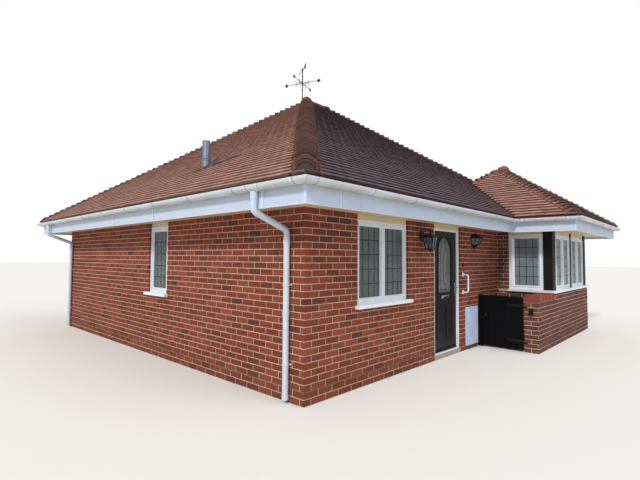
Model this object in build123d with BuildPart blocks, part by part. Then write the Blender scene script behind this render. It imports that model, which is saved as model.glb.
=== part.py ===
from build123d import *
import os
from math import cos, radians, sin, tan

# A small brick bungalow with a hipped tile roof and a projecting window wing.
# Millimetres. +X runs along the entrance wall, +Y goes into the house, +Z is up.
# The origin is on the ground below the middle of the main block.
os.makedirs("parts", exist_ok=True)

# Brickwork
course = 75.0
wall_thickness = 280.0
pier_thickness = 223.0
creasing_lap = 10.0
creasing_thickness = 15.0
coping_height = 105.0

# Plan of the main block and of the wing on its entrance side
house_length = 8100.0
house_depth = 7480.0
wing_offset = 5425.0
wing_projection = 985.0
dwarf_projection = 1010.0
pier_offset = 4450.0

# Levels above the ground
floor_level = 60.0
sill_level = 945.0
sill_thickness = 45.0
soffit_courses = 28
soffit_level = soffit_courses * course
fascia_bottom = 2050.0
ceiling_level = 2300.0
board_thickness = 20.0

# Roof
roof_pitch = 34.4
eaves_overhang = 500.0
wing_overhang = 545.0
eaves_top = 2320.0
tile_edge = 30.0
roof_thickness = 150.0
wing_ridge = 160.0
hip_tile_radius = 75.0
apex_cap_radius = 110.0

# Eaves boards and gutter
fascia_setback = 60.0
gutter_radius = 62.0
gutter_wall = 4.0
gutter_top_gap = 6.0
fitting_thickness = 4.0
union_length = 70.0
union_reach = 150.0
outlet_reach = 95.0
bracket_length = 25.0
bracket_spacing = 900.0
pipe_radius = 34.0
pipe_wall = 3.0
pipe_stand_off = 12.0
pipe_knee = 30.0
pipe_drop = 200.0
pipe_bend = 60.0
pipe_foot = 40.0
pipe_clips = [1250.0, 400.0]
clip_height = 24.0
clip_thickness = 4.0
clip_arm_width = 24.0
near_pipe_offset = 235.0
far_pipe_offset = 7350.0
soffit_thickness = 12.0

# Windows
frame_depth = 70.0
frame_setback = 30.0
frame_face = 62.0
sash_face = 38.0
sash_proud = 12.0
glass_thickness = 20.0
head_board_height = 70.0
sill_projection = 60.0
sill_ear = 40.0

window_left = 890.0
window_width = 1160.0
side_window_start = 2990.0
side_window_width = 620.0
rear_window_inset = 1400.0

# Wing windows and posts
wing_return = 211.0
corner_post = 200.0
post_depth = 160.0
wing_frame_setback = 15.0
middle_post = 80.0
right_post = 180.0

# Entrance door
door_left = 2805.0
door_width = 920.0
jamb_face = 60.0
door_thickness = 50.0
hinge_gap = 6.0
leading_gap = 8.0
door_stop = 20.0
door_head_face = 15.0
stop_lap = 14.0
stop_gap = 5.0
frame_margin = 5.0
door_glass_width = 440.0
door_glass_bottom = 1010.0
door_glass_spring = 1680.0
bead_width = 28.0
bead_proud = 8.0
panel_spacing = 330.0
panel_centre = 520.0
panel_width = 250.0
panel_height = 480.0
door_threshold = 25.0
door_foot_gap = 6.0
letter_plate_level = 945.0
letter_plate_width = 280.0
letter_plate_height = 60.0
letter_plate_corner = 6.0
plate_thickness = 8.0
handle_inset = 52.0
handle_level = 1040.0
handle_plate_width = 34.0
handle_plate_height = 220.0
handle_plate_corner = 8.0
handle_stand_off = 42.0
spindle_lift = 40.0
spindle_radius = 9.0
lever_reach = 125.0
lever_width = 20.0
lever_thickness = 10.0
lever_overrun = 12.0
hinge_offset = 7.0
hinge_barrel = 5.5
hinge_flag = 34.0
hinge_plate = 2.5
hinge_height = 90.0
door_hinge_levels = [230.0, 980.0, 1730.0]

# Lanterns beside the door
lantern_offset = 2415.0
lantern_plate_width = 90.0
lantern_plate_height = 140.0
lantern_plate_level = 1902.0
lantern_plate_thickness = 14.0
lantern_reach = 150.0
lantern_bottom = 1680.0
lantern_cage_height = 190.0
lantern_bottom_width = 105.0
lantern_top_width = 166.0
lantern_wall = 6.0
lantern_cap_height = 55.0
lantern_bar = 9.0
finial_root = 2.0
bulkhead_offset = 4265.0
bulkhead_level = 1860.0
bulkhead_width = 200.0
bulkhead_height = 270.0
bulkhead_point = 70.0
bulkhead_hood_height = 65.0
bulkhead_hood_radius = 160.0
bulkhead_crown_radius = 60.0
bowl_radius = 140.0
bowl_foot_radius = 80.0
bowl_height = 125.0
bowl_cup_height = 28.0
bowl_bar = 5.0

# Bell push and grab rail
bell_offset = 3805.0
bell_level = 1455.0
bell_width = 32.0
bell_height = 64.0
bell_thickness = 18.0
bell_corner = 8.0
rail_offset = 3815.0
rail_low = 990.0
rail_high = 1290.0
rail_stand_off = 95.0
rail_radius = 14.0
rail_bend = 42.0
rail_flange = 38.0
rail_flange_thickness = 8.0

# Meter box
meter_left = 3895.0
meter_width = 412.0
meter_bottom = 85.0
meter_height = 640.0
meter_depth = 35.0
meter_wall = 6.0
meter_door_thickness = 12.0
meter_door_corner = 5.5
meter_gap = 3.0
meter_lug = 5.0
meter_pin = 2.0
meter_pin_length = 10.0

# Bin store gate, hung on the pier
gate_top = 915.0
gate_foot = 25.0
gate_board_thickness = 20.0
gate_rail_thickness = 30.0
gate_rail_height = 90.0
gate_rail_levels = [130.0, 730.0]
gate_hinge_gap = 22.0
gate_latch_gap = 8.0
gate_post = 75.0
gate_boards = 7
board_gap = 4.0
gate_barrel = 9.0
gate_pin = 5.0
gate_pin_collar = 1.0
gate_bracket_height = 14.0
gate_bracket_reach = 50.0
gate_strap_reach = 260.0
gate_strap_height = 36.0
gate_strap_thickness = 5.0
key_safe_width = 62.0
key_safe_height = 120.0
key_safe_depth = 38.0
key_safe_level = 675.0
key_safe_corner = 10.0

# Flue and weathervane
flue_x = 415.0
flue_y = 2626.0
flue_radius = 58.0
flue_wall = 4.0
flue_top = 3375.0
collar_level = 3085.0
collar_radius = 70.0
collar_height = 22.0
flashing_width = 330.0
flashing_length = 420.0
flashing_thickness = 5.0
vane_x = 3852.0
vane_y = 4000.0
mast_top = 6060.0
mast_radius = 11.0
pin_radius = 5.0
pin_gap = 0.1
pin_length = 50.0
pin_root = 1.0
arm_drop = 300.0
arm_reach = 430.0
arm_radius = 6.0
arm_turn = 19.0
arm_tip_width = 70.0
arm_tip_thickness = 4.0
arrow_turn = 63.0
arrow_reach = 230.0
arrow_radius = 5.0
arrow_thickness = 4.0
hub_radius = 20.0
hub_height = 60.0
ball_radius = 22.0
bead_radius = 20.0
bead_lift = 170.0
arrow_head = 55.0

seat = 0.3

# Derived places
left = -house_length / 2
right = house_length / 2
front = -house_depth / 2
back = house_depth / 2
wing_left = left + wing_offset
wing_front = front - wing_projection
dwarf_front = front - dwarf_projection
slope = tan(radians(roof_pitch))
roof_left = left - eaves_overhang
roof_right = right + eaves_overhang
roof_front = front - eaves_overhang
roof_back = back + eaves_overhang
wing_roof_left = wing_left - wing_overhang
wing_roof_front = wing_front - wing_overhang
shell_height = roof_thickness / cos(radians(roof_pitch))
eaves_bottom = eaves_top - tile_edge
window_sill_top = sill_level + sill_thickness
head_board_bottom = soffit_level - head_board_height
fascia_left = roof_left + fascia_setback
fascia_right = roof_right - fascia_setback
fascia_front = roof_front + fascia_setback
fascia_back = roof_back - fascia_setback
wing_fascia_left = wing_roof_left + fascia_setback
wing_fascia_front = wing_roof_front + fascia_setback
gutter_axis_level = eaves_bottom - gutter_top_gap


def finish(name, part):
    """Label a finished piece and write it to its own file."""
    part.label = name
    export_step(part, f"parts/{name}.step")


def facing(side, x, y, z):
    """A plane on a wall, its normal pointing out of the house and its Y axis up."""
    normals = {
        "entrance": ((1, 0, 0), (0, -1, 0)),
        "left": ((0, -1, 0), (-1, 0, 0)),
        "rear": ((-1, 0, 0), (0, 1, 0)),
        "right": ((0, 1, 0), (1, 0, 0)),
    }
    along, out = normals[side]
    return Plane(origin=(x, y, z), x_dir=along, z_dir=out)


def box_between(x0, x1, y0, y1, z0, z1):
    """A plain block between two corners."""
    with BuildPart() as block:
        with BuildSketch(Plane.XY.offset(z0)):
            with Locations(((x0 + x1) / 2, (y0 + y1) / 2)):
                Rectangle(abs(x1 - x0), abs(y1 - y0))
        extrude(amount=z1 - z0)
    return block.part


def prism(points, z0, z1):
    """An upright prism on a plan outline."""
    with BuildPart() as block:
        with BuildSketch(Plane.XY.offset(z0)):
            with BuildLine():
                Polyline(*points, close=True)
            make_face()
        extrude(amount=z1 - z0)
    return block.part


def roof_section(start, end, base, edge):
    """The section of a ridged prism: an upright edge, if any, then both slopes."""
    middle = (start + end) / 2
    peak = (middle, base + edge + slope * (end - start) / 2)
    if edge:
        return [(start, base), (end, base), (end, base + edge), peak, (start, base + edge)]
    return [(start, base), (end, base), peak]


def hip_form(x0, x1, y0, y1, base, edge):
    """The solid under a hipped roof: two ridged prisms that cross."""
    reach = max(x1 - x0, y1 - y0)
    with BuildPart() as form:
        with BuildSketch(Plane.YZ.offset(x0)):
            with BuildLine():
                Polyline(*roof_section(y0, y1, base, edge), close=True)
            make_face()
        extrude(amount=x1 - x0)
        with BuildSketch(Plane.XZ.offset(-y1 - reach)):
            with BuildLine():
                Polyline(*roof_section(x0, x1, base, edge), close=True)
            make_face()
        extrude(amount=3 * reach, mode=Mode.INTERSECT)
    return form.part


def casement(plane, width, height, lights):
    """A window frame with its sashes, standing on the plane's origin corner."""
    light = (width - frame_face * (lights + 1)) / lights
    with BuildPart() as unit:
        with BuildSketch(plane):
            with Locations((width / 2, height / 2)):
                Rectangle(width, height)
            for index in range(lights):
                with Locations((frame_face + light / 2 + index * (light + frame_face), height / 2)):
                    Rectangle(light, height - 2 * frame_face, mode=Mode.SUBTRACT)
        extrude(amount=frame_depth)
        with BuildSketch(plane.offset(frame_depth)):
            for index in range(lights):
                with Locations((frame_face + light / 2 + index * (light + frame_face), height / 2)):
                    Rectangle(light + sash_face, height - 2 * frame_face + sash_face)
                    Rectangle(light, height - 2 * frame_face, mode=Mode.SUBTRACT)
        extrude(amount=sash_proud)
    return unit.part


def panes(plane, width, height, lights):
    """The glass of a casement, one pane in each light."""
    light = (width - frame_face * (lights + 1)) / lights
    with BuildPart() as glass:
        with BuildSketch(plane.offset((frame_depth - glass_thickness) / 2)):
            for index in range(lights):
                with Locations((frame_face + light / 2 + index * (light + frame_face), height / 2)):
                    Rectangle(light, height - 2 * frame_face)
        extrude(amount=glass_thickness)
    return glass.part


def rod(start, direction, length, radius):
    """A round rod from a point along a direction."""
    with BuildPart() as bar:
        with BuildSketch(Plane(origin=start, z_dir=direction)):
            Circle(radius)
        extrude(amount=length)
    return bar.part


def joined(*pieces):
    """Pieces that share a node."""
    with BuildPart() as group:
        for piece in pieces:
            add(piece)
    return group.part


def cut_from(body, *tools):
    """A body with other pieces taken out of it."""
    with BuildPart() as rest:
        add(body)
        for tool in tools:
            add(tool, mode=Mode.SUBTRACT)
    return rest.part


def opening(side, x, y, z, width, height):
    """The cutter of a window or door opening through a wall."""
    with BuildPart() as cutter:
        with BuildSketch(facing(side, x, y, z)):
            with Locations((width / 2, height / 2)):
                Rectangle(width, height)
        extrude(amount=2 * wall_thickness, both=True)
    return cutter.part


# Roofs: tiled shells over the main block and over the wing
main_form = hip_form(roof_left, roof_right, roof_front, roof_back, eaves_bottom, tile_edge)
main_loft = hip_form(roof_left, roof_right, roof_front, roof_back, eaves_top - shell_height, 0)
wing_roof_width = roof_right - wing_roof_left
wing_roof_back = wing_roof_front + wing_roof_width + wing_ridge
wing_form = hip_form(wing_roof_left, roof_right, wing_roof_front, wing_roof_back, eaves_bottom, tile_edge)
wing_loft = hip_form(
    wing_roof_left, roof_right, wing_roof_front, wing_roof_back, eaves_top - shell_height, 0
)
half_span = min(roof_right - roof_left, roof_back - roof_front) / 2
ridge_level = eaves_top + slope * half_span
wing_eaves_gap = box_between(wing_left, roof_right, roof_front, front, 0, ridge_level)

with BuildPart() as main_roof:
    add(main_form)
    add(main_loft, mode=Mode.SUBTRACT)
    add(wing_eaves_gap, mode=Mode.SUBTRACT)
finish("main_roof", main_roof.part)

with BuildPart() as wing_roof:
    add(wing_form)
    add(wing_loft, mode=Mode.SUBTRACT)
    add(cut_from(main_form, wing_eaves_gap), mode=Mode.SUBTRACT)
finish("wing_roof", wing_roof.part)


def hip_run(start, end):
    """A rounded run of hip or ridge tiles between two points of the roof's edges."""
    low = Vector(*start)
    run = Vector(*end) - low
    with BuildPart() as tiles:
        with BuildSketch(Plane(origin=low, z_dir=run)):
            Circle(hip_tile_radius)
        extrude(amount=run.length)
    return tiles.part


ridge_start = (roof_left + half_span, roof_front + half_span, ridge_level)
ridge_end = (roof_right - half_span, roof_back - half_span, ridge_level)
ridge_is_long = roof_right - roof_left > roof_back - roof_front
hip_crossing_inset = (wing_roof_back - roof_front) / 2
hip_crossing = (
    roof_right - hip_crossing_inset,
    roof_front + hip_crossing_inset,
    eaves_top + slope * hip_crossing_inset,
)
main_hips = [
    ((roof_left, roof_front, eaves_top), ridge_start),
    ((roof_left, roof_back, eaves_top), ridge_start if ridge_is_long else ridge_end),
    (hip_crossing, ridge_end if ridge_is_long else ridge_start),
    ((roof_right, roof_back, eaves_top), ridge_end),
    (ridge_start, ridge_end),
]
wing_half = wing_roof_width / 2
wing_ridge_x = wing_roof_left + wing_half
wing_ridge_level = eaves_top + slope * wing_half
wing_ridge_ends = [
    (wing_ridge_x, wing_roof_front + wing_half, wing_ridge_level),
    (wing_ridge_x, wing_roof_back - wing_half, wing_ridge_level),
]
wing_hips = [
    ((wing_roof_left, wing_roof_front, eaves_top), wing_ridge_ends[0]),
    ((roof_right, wing_roof_front, eaves_top), wing_ridge_ends[0]),
    ((wing_roof_left, wing_roof_back, eaves_top), wing_ridge_ends[1]),
    (hip_crossing, wing_ridge_ends[1]),
    (wing_ridge_ends[0], wing_ridge_ends[1]),
]


def hip_tiles(runs, *others):
    """All hips and the ridge of one roof, fused and seated on the tiles."""
    with BuildPart() as tiles:
        for start, end in runs:
            add(hip_run(start, end))
        for start, end in runs:
            with Locations(end):
                Sphere(apex_cap_radius)
        for form in (main_form, wing_form, *others):
            add(form, mode=Mode.SUBTRACT)
        add(
            box_between(roof_left, roof_right, wing_roof_front, roof_back, eaves_top, 2 * ridge_level),
            mode=Mode.INTERSECT,
        )
    return tiles.part


main_hip_tiles = hip_tiles(main_hips)
finish("main_hip_tiles", main_hip_tiles)
finish("wing_hip_tiles", hip_tiles(wing_hips, main_hip_tiles))


def under_roof(body):
    """A wall or beam trimmed to the underside of both roofs."""
    return cut_from(body, main_roof.part, wing_roof.part)


# Floor slab, with the threshold strip of the entrance and the floor of the wing
inner_left = left + wall_thickness
inner_right = right - wall_thickness
inner_front = front + wall_thickness
inner_back = back - wall_thickness
wing_inner_left = wing_left + wall_thickness
door_start = left + door_left
door_end = door_start + door_width
with BuildPart() as floor_slab:
    add(box_between(inner_left, inner_right, inner_front, inner_back, 0, floor_level))
    add(box_between(door_start, door_end, front, inner_front, 0, floor_level))
    add(box_between(wing_inner_left, inner_right, dwarf_front + wall_thickness, inner_front, 0, floor_level))
finish("floor_slab", floor_slab.part)

# Outer walls: cavity brickwork at its full thickness, its tops cut to the roof's slope
top_of_walls = eaves_top + slope * wing_overhang - shell_height
window_opening = soffit_level - sill_level
side_start = front + side_window_start
side_end = side_start + side_window_width
rear_window_ends = [left + rear_window_inset + window_width, right - rear_window_inset]

with BuildPart() as side_wall:
    add(under_roof(box_between(left, inner_left, front, back, 0, top_of_walls)))
    add(
        opening("left", left, side_end, sill_level, side_window_width, window_opening),
        mode=Mode.SUBTRACT,
    )
finish("side_wall", side_wall.part)

with BuildPart() as entrance_wall_left:
    add(under_roof(box_between(inner_left, door_start, front, inner_front, 0, top_of_walls)))
    add(
        opening("entrance", left + window_left, front, sill_level, window_width, window_opening),
        mode=Mode.SUBTRACT,
    )
finish("entrance_wall_left", entrance_wall_left.part)

with BuildPart() as entrance_wall_right:
    add(under_roof(box_between(door_end, wing_inner_left, front, inner_front, 0, top_of_walls)))
finish("entrance_wall_right", entrance_wall_right.part)

with BuildPart() as door_head_wall:
    add(under_roof(box_between(door_start, door_end, front, inner_front, soffit_level, top_of_walls)))
finish("door_head_wall", door_head_wall.part)

with BuildPart() as rear_wall:
    add(under_roof(box_between(inner_left, inner_right, inner_back, back, 0, top_of_walls)))
    for end in rear_window_ends:
        add(opening("rear", end, back, sill_level, window_width, window_opening), mode=Mode.SUBTRACT)
finish("rear_wall", rear_wall.part)

with BuildPart() as right_wall:
    add(under_roof(box_between(inner_right, right, front, back, 0, top_of_walls)))
    add(
        opening("right", right, side_start, sill_level, side_window_width, window_opening),
        mode=Mode.SUBTRACT,
    )
finish("right_wall", right_wall.part)

# Wing: dwarf walls, brick returns, posts and the beam over its windows
return_front = front - wing_return
dwarf_back = dwarf_front + wall_thickness
with BuildPart() as wing_front_wall:
    add(box_between(wing_left, right, dwarf_front, dwarf_back, 0, sill_level))
finish("wing_front_wall", wing_front_wall.part)


def wing_side(x0, x1):
    """A side wall of the wing: a dwarf wall and a full-height return beside the house."""
    return joined(
        box_between(x0, x1, dwarf_back, front, 0, sill_level),
        under_roof(box_between(x0, x1, return_front, front, sill_level, top_of_walls)),
    )


with BuildPart() as wing_side_walls:
    add(wing_side(wing_left, wing_inner_left))
    add(wing_side(inner_right, right))
finish("wing_side_walls", wing_side_walls.part)

wing_inner_front = wing_front + wall_thickness
with BuildPart() as wing_head_beam:
    add(
        under_roof(
            joined(
                box_between(wing_left, right, wing_front, wing_inner_front, soffit_level, top_of_walls),
                box_between(wing_left, wing_inner_left, wing_front, return_front, soffit_level, top_of_walls),
                box_between(inner_right, right, wing_front, return_front, soffit_level, top_of_walls),
            )
        )
    )
finish("wing_head_beam", wing_head_beam.part)

middle_post_x = (wing_left + corner_post + right - right_post) / 2
with BuildPart() as wing_posts:
    add(box_between(wing_left, wing_left + corner_post, wing_front, wing_front + post_depth,
                    window_sill_top, soffit_level))
    add(box_between(right - right_post, right, wing_front, wing_front + post_depth,
                    window_sill_top, soffit_level))
    add(box_between(middle_post_x - middle_post / 2, middle_post_x + middle_post / 2,
                    wing_front, wing_front + post_depth, window_sill_top, soffit_level))
finish("wing_posts", wing_posts.part)

sill_inner = post_depth
wing_sill_points = [
    (wing_left - sill_projection, return_front),
    (wing_left - sill_projection, wing_front - sill_projection),
    (right + sill_projection, wing_front - sill_projection),
    (right + sill_projection, return_front),
    (right - sill_inner, return_front),
    (right - sill_inner, wing_front + sill_inner),
    (wing_left + sill_inner, wing_front + sill_inner),
    (wing_left + sill_inner, return_front),
]
with BuildPart() as wing_sill:
    add(prism(wing_sill_points, sill_level, window_sill_top))
finish("wing_sill", wing_sill.part)

# Low wall and pier of the bin store, with a creasing tile and a brick-on-edge coping
pier_end = left + pier_offset
pier_back = dwarf_front + pier_thickness
creasing_bottom = sill_level - coping_height - creasing_thickness
with BuildPart() as low_wall:
    add(box_between(pier_end, wing_left, dwarf_front, pier_back, 0, creasing_bottom))
finish("low_wall", low_wall.part)

with BuildPart() as wall_coping:
    add(box_between(pier_end, wing_left, dwarf_front, pier_back, creasing_bottom, sill_level))
    add(box_between(pier_end - creasing_lap, wing_left, dwarf_front - creasing_lap, pier_back + creasing_lap,
                    creasing_bottom, creasing_bottom + creasing_thickness))
finish("wall_coping", wall_coping.part)

# Ceiling board
with BuildPart() as ceiling:
    add(box_between(inner_left, inner_right, inner_front, inner_back,
                    ceiling_level, ceiling_level + board_thickness))
    add(box_between(wing_inner_left, inner_right, wing_inner_front, inner_front,
                    ceiling_level, ceiling_level + board_thickness))
finish("ceiling", ceiling.part)

# Eaves: fascia boards, soffit and gutter round the whole outline
fascia_outline = [
    (fascia_left, fascia_front),
    (wing_fascia_left, fascia_front),
    (wing_fascia_left, wing_fascia_front),
    (fascia_right, wing_fascia_front),
    (fascia_right, fascia_back),
    (fascia_left, fascia_back),
]
wall_outline = [
    (left, front),
    (wing_left, front),
    (wing_left, wing_front),
    (right, wing_front),
    (right, back),
    (left, back),
]


def outline_prism(outline, grow, z0, z1):
    """An upright prism on an outline that is grown, or shrunk by a negative amount."""
    with BuildPart() as block:
        with BuildSketch(Plane.XY.offset(z0)):
            with BuildLine():
                Polyline(*outline, close=True)
            make_face()
            if grow:
                offset(amount=grow, kind=Kind.INTERSECTION, mode=Mode.REPLACE)
        extrude(amount=z1 - z0)
    return block.part


with BuildPart() as fascia:
    add(outline_prism(fascia_outline, 0, fascia_bottom, eaves_bottom))
    add(outline_prism(fascia_outline, -board_thickness, fascia_bottom, eaves_bottom), mode=Mode.SUBTRACT)
finish("fascia", fascia.part)

soffit_top = soffit_level + soffit_thickness
with BuildPart() as soffit:
    add(outline_prism(fascia_outline, -board_thickness, soffit_level, soffit_top))
    add(outline_prism(wall_outline, 0, soffit_level, soffit_top), mode=Mode.SUBTRACT)
finish("soffit", soffit.part)

gutter_outline = [
    (x + gutter_radius * side_x, y + gutter_radius * side_y)
    for (x, y), (side_x, side_y) in zip(
        fascia_outline, [(-1, -1), (-1, -1), (-1, -1), (1, -1), (1, 1), (-1, 1)]
    )
]
gutter_axis_path = [(x, y, gutter_axis_level) for x, y in gutter_outline]
near_pipe_y = front + near_pipe_offset
far_pipe_y = front + far_pipe_offset
gutter_corners = [Vector(*point) for point in gutter_axis_path]
gutter_sides = [
    (corner, gutter_corners[(index + 1) % len(gutter_corners)], [])
    for index, corner in enumerate(gutter_corners[:-1])
]
gutter_start_y = gutter_corners[-1].Y
gutter_sides.append(
    (gutter_corners[-1], gutter_corners[0], [gutter_start_y - near_pipe_y, gutter_start_y - far_pipe_y])
)


def gutter_fittings(length, pipes):
    """Places and lengths of the unions, outlet sockets and brackets along one side."""
    places = [(union_reach, union_length), (length - union_reach, union_length)]
    for pipe in pipes:
        places += [(pipe - outlet_reach, union_length / 2), (pipe + outlet_reach, union_length / 2)]
    bays = max(1, round((length - 2 * union_reach) / bracket_spacing))
    gap = (length - 2 * union_reach) / bays
    brackets = [union_reach + gap * bay for bay in range(1, bays)]
    clear = [place for place in brackets if all(abs(place - other) > union_length for other, _ in places)]
    return places + [(place, bracket_length) for place in clear]


with BuildPart() as gutter:
    with BuildLine():
        Polyline(*gutter_axis_path, close=True)
    with BuildSketch(Plane(origin=gutter_axis_path[0], x_dir=(0, 1, 0), z_dir=(1, 0, 0))):
        Circle(gutter_radius)
        Circle(gutter_radius - gutter_wall, mode=Mode.SUBTRACT)
        with Locations((0, gutter_radius)):
            Rectangle(3 * gutter_radius, 2 * gutter_radius, mode=Mode.SUBTRACT)
    sweep(transition=Transition.RIGHT)
    for start, end, pipes in gutter_sides:
        for distance, length in gutter_fittings((end - start).length, pipes):
            along = (end - start).normalized()
            outwards = along.cross(Vector(0, 0, 1))
            with BuildSketch(Plane(origin=start + along * distance, x_dir=outwards, z_dir=along)):
                Circle(gutter_radius + fitting_thickness)
                Circle(gutter_radius - gutter_wall / 2, mode=Mode.SUBTRACT)
                with Locations((0, -gutter_radius)):
                    Rectangle(3 * gutter_radius, 2 * gutter_radius, mode=Mode.SUBTRACT)
                with Locations((-2 * gutter_radius, 0)):
                    Rectangle(2 * gutter_radius, 4 * gutter_radius, mode=Mode.SUBTRACT)
            extrude(amount=length / 2, both=True)
finish("gutter", gutter.part)


def downpipe(y):
    """A round pipe from the gutter, under the soffit and down the side wall."""
    wall_x = left - pipe_stand_off - pipe_radius
    gutter_x = fascia_left - gutter_radius
    top = gutter_axis_level - gutter_radius
    with BuildPart() as pipe:
        with BuildLine():
            FilletPolyline(
                (gutter_x, y, top),
                (gutter_x, y, fascia_bottom - pipe_knee),
                (wall_x, y, fascia_bottom - pipe_drop),
                (wall_x, y, pipe_foot),
                radius=pipe_bend,
            )
        with BuildSketch(Plane(origin=(gutter_x, y, top), z_dir=(0, 0, -1))):
            Circle(pipe_radius)
            Circle(pipe_radius - pipe_wall, mode=Mode.SUBTRACT)
        sweep()
        for level in pipe_clips:
            with BuildSketch(Plane.XY.offset(level)):
                with Locations((wall_x, y)):
                    Circle(pipe_radius + clip_thickness)
                    Circle(pipe_radius, mode=Mode.SUBTRACT)
                with Locations((left - pipe_stand_off / 2, y)):
                    Rectangle(pipe_stand_off, clip_arm_width)
            extrude(amount=clip_height)
    return pipe.part


finish("downpipes", joined(downpipe(near_pipe_y), downpipe(far_pipe_y)))

# Windows: frames with sashes, glass, head boards and sills
frame_back = frame_setback + frame_depth
frame_height = head_board_bottom - window_sill_top


def wall_window(side, x, y, width, lights):
    """Frame, glass, head board and sill of one window, from its lower left corner."""
    face = facing(side, x, y, 0)
    base = face.offset(-frame_back)
    with BuildPart() as board:
        with BuildSketch(base):
            with Locations((width / 2, (head_board_bottom + soffit_level) / 2)):
                Rectangle(width, head_board_height)
        extrude(amount=frame_depth)
    with BuildPart() as sill:
        with BuildSketch(Plane(origin=base.origin + Vector(0, 0, sill_level), x_dir=base.x_dir)):
            outward = face.z_dir.dot(Plane(origin=(0, 0, 0), x_dir=base.x_dir).y_dir)
            with Locations((width / 2, outward * frame_back / 2)):
                Rectangle(width, frame_back)
            with Locations((width / 2, outward * (frame_back + sill_projection / 2))):
                Rectangle(width + 2 * sill_ear, sill_projection)
        extrude(amount=sill_thickness)
    corner = base.origin + Vector(0, 0, window_sill_top)
    frame_plane = Plane(origin=corner, x_dir=base.x_dir, z_dir=base.z_dir)
    return {
        "frame": casement(frame_plane, width, frame_height, lights),
        "glass": panes(frame_plane, width, frame_height, lights),
        "board": board.part,
        "sill": sill.part,
    }


entrance_set = wall_window("entrance", left + window_left, front, window_width, 2)
side_set = wall_window("left", left, side_end, side_window_width, 1)
rear_sets = [wall_window("rear", end, back, window_width, 2) for end in rear_window_ends]
right_set = wall_window("right", right, side_start, side_window_width, 1)

finish("entrance_window", joined(entrance_set["frame"]))
finish("side_window", joined(side_set["frame"]))
finish("rear_windows", joined(*[each["frame"] for each in rear_sets]))
finish("right_window", joined(right_set["frame"]))
wall_sets = [entrance_set, side_set, right_set, *rear_sets]
finish("window_glass", joined(*[each["glass"] for each in wall_sets]))
finish("window_sills", joined(*[each["sill"] for each in wall_sets]))

# Wing windows, side by side between the posts
wing_side_width = wing_projection - post_depth - wing_return
wing_light_start = wing_left + corner_post
wing_front_width = middle_post_x - middle_post / 2 - wing_light_start
wing_bays = [
    ("entrance", wing_light_start, wing_front, wing_front_width, 2),
    ("entrance", middle_post_x + middle_post / 2, wing_front, wing_front_width, 2),
    ("left", wing_left, return_front, wing_side_width, 1),
    ("right", right, wing_front + post_depth, wing_side_width, 1),
]
wing_frames = []
wing_panes = []
wing_boards = []
for side, x, y, width, lights in wing_bays:
    bay = facing(side, x, y, window_sill_top).offset(-wing_frame_setback - frame_depth)
    wing_frames.append(casement(bay, width, frame_height, lights))
    wing_panes.append(panes(bay, width, frame_height, lights))
    with BuildPart() as board:
        with BuildSketch(bay):
            with Locations((width / 2, frame_height + head_board_height / 2)):
                Rectangle(width, head_board_height)
        extrude(amount=frame_depth)
    wing_boards.append(board.part)
finish("wing_windows", joined(*wing_frames))
finish("wing_glass", joined(*wing_panes))

# Entrance door: frame with a stop, leaf with an arched light
leaf_bottom = floor_level + door_threshold + door_foot_gap
leaf_top = head_board_bottom - door_head_face - door_foot_gap
leaf_left = door_start + jamb_face + hinge_gap
leaf_width = door_width - 2 * jamb_face - hinge_gap - leading_gap
leaf_front = front + frame_setback + door_stop + stop_gap
leaf_back = leaf_front + door_thickness
door_frame_back = leaf_back + frame_margin
door_frame_height = head_board_bottom - floor_level
stop_top = door_frame_height - door_head_face - stop_lap
leaf_height = leaf_top - leaf_bottom
with BuildPart() as door_frame:
    with BuildSketch(facing("entrance", door_start, door_frame_back, floor_level)):
        with Locations((door_width / 2, door_frame_height / 2)):
            Rectangle(door_width, door_frame_height)
        with Locations((door_width / 2, (door_threshold + door_frame_height - door_head_face) / 2)):
            Rectangle(door_width - 2 * jamb_face, door_frame_height - door_head_face - door_threshold,
                      mode=Mode.SUBTRACT)
    extrude(amount=door_frame_back - front - frame_setback)
    with BuildSketch(facing("entrance", door_start, front + frame_setback + door_stop, floor_level)):
        with Locations((door_width / 2, (door_threshold + door_frame_height) / 2)):
            Rectangle(door_width, door_frame_height - door_threshold)
        with Locations((door_width / 2, (door_threshold + stop_top) / 2)):
            Rectangle(
                door_width - 2 * (jamb_face + stop_lap),
                stop_top - door_threshold,
                mode=Mode.SUBTRACT,
            )
    extrude(amount=door_stop)
finish("door_frame", door_frame.part)

with BuildPart() as head_boards:
    for each in wall_sets:
        add(each["board"])
    for bay_board in wing_boards:
        add(bay_board)
    add(box_between(door_start, door_end, front + frame_setback, door_frame_back,
                    head_board_bottom, soffit_level))
finish("head_boards", head_boards.part)

leaf_centre = leaf_left + leaf_width / 2
leaf_plane = facing("entrance", leaf_centre, leaf_back, 0)


def arched_light(grow):
    """The arched glass opening of the door, drawn on the open sketch."""
    half = door_glass_width / 2 + grow
    bottom = door_glass_bottom - grow
    with Locations((0, (bottom + door_glass_spring) / 2)):
        Rectangle(2 * half, door_glass_spring - bottom)
    with Locations((0, door_glass_spring)):
        Circle(half)


with BuildPart() as front_door:
    with BuildSketch(leaf_plane):
        with Locations((0, (leaf_bottom + leaf_top) / 2)):
            Rectangle(leaf_width, leaf_height)
    extrude(amount=door_thickness)
    with BuildSketch(leaf_plane.offset(door_thickness)):
        arched_light(bead_width)
        for offset_x in (-panel_spacing / 2, panel_spacing / 2):
            with Locations((offset_x, panel_centre)):
                Rectangle(panel_width, panel_height)
    extrude(amount=bead_proud)
    with BuildSketch(leaf_plane):
        arched_light(0)
    extrude(amount=door_thickness + 2 * bead_proud, mode=Mode.SUBTRACT)
finish("front_door", front_door.part)

with BuildPart() as door_glass:
    with BuildSketch(leaf_plane.offset((door_thickness - glass_thickness) / 2)):
        arched_light(0)
    extrude(amount=glass_thickness)
finish("door_glass", door_glass.part)

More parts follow.
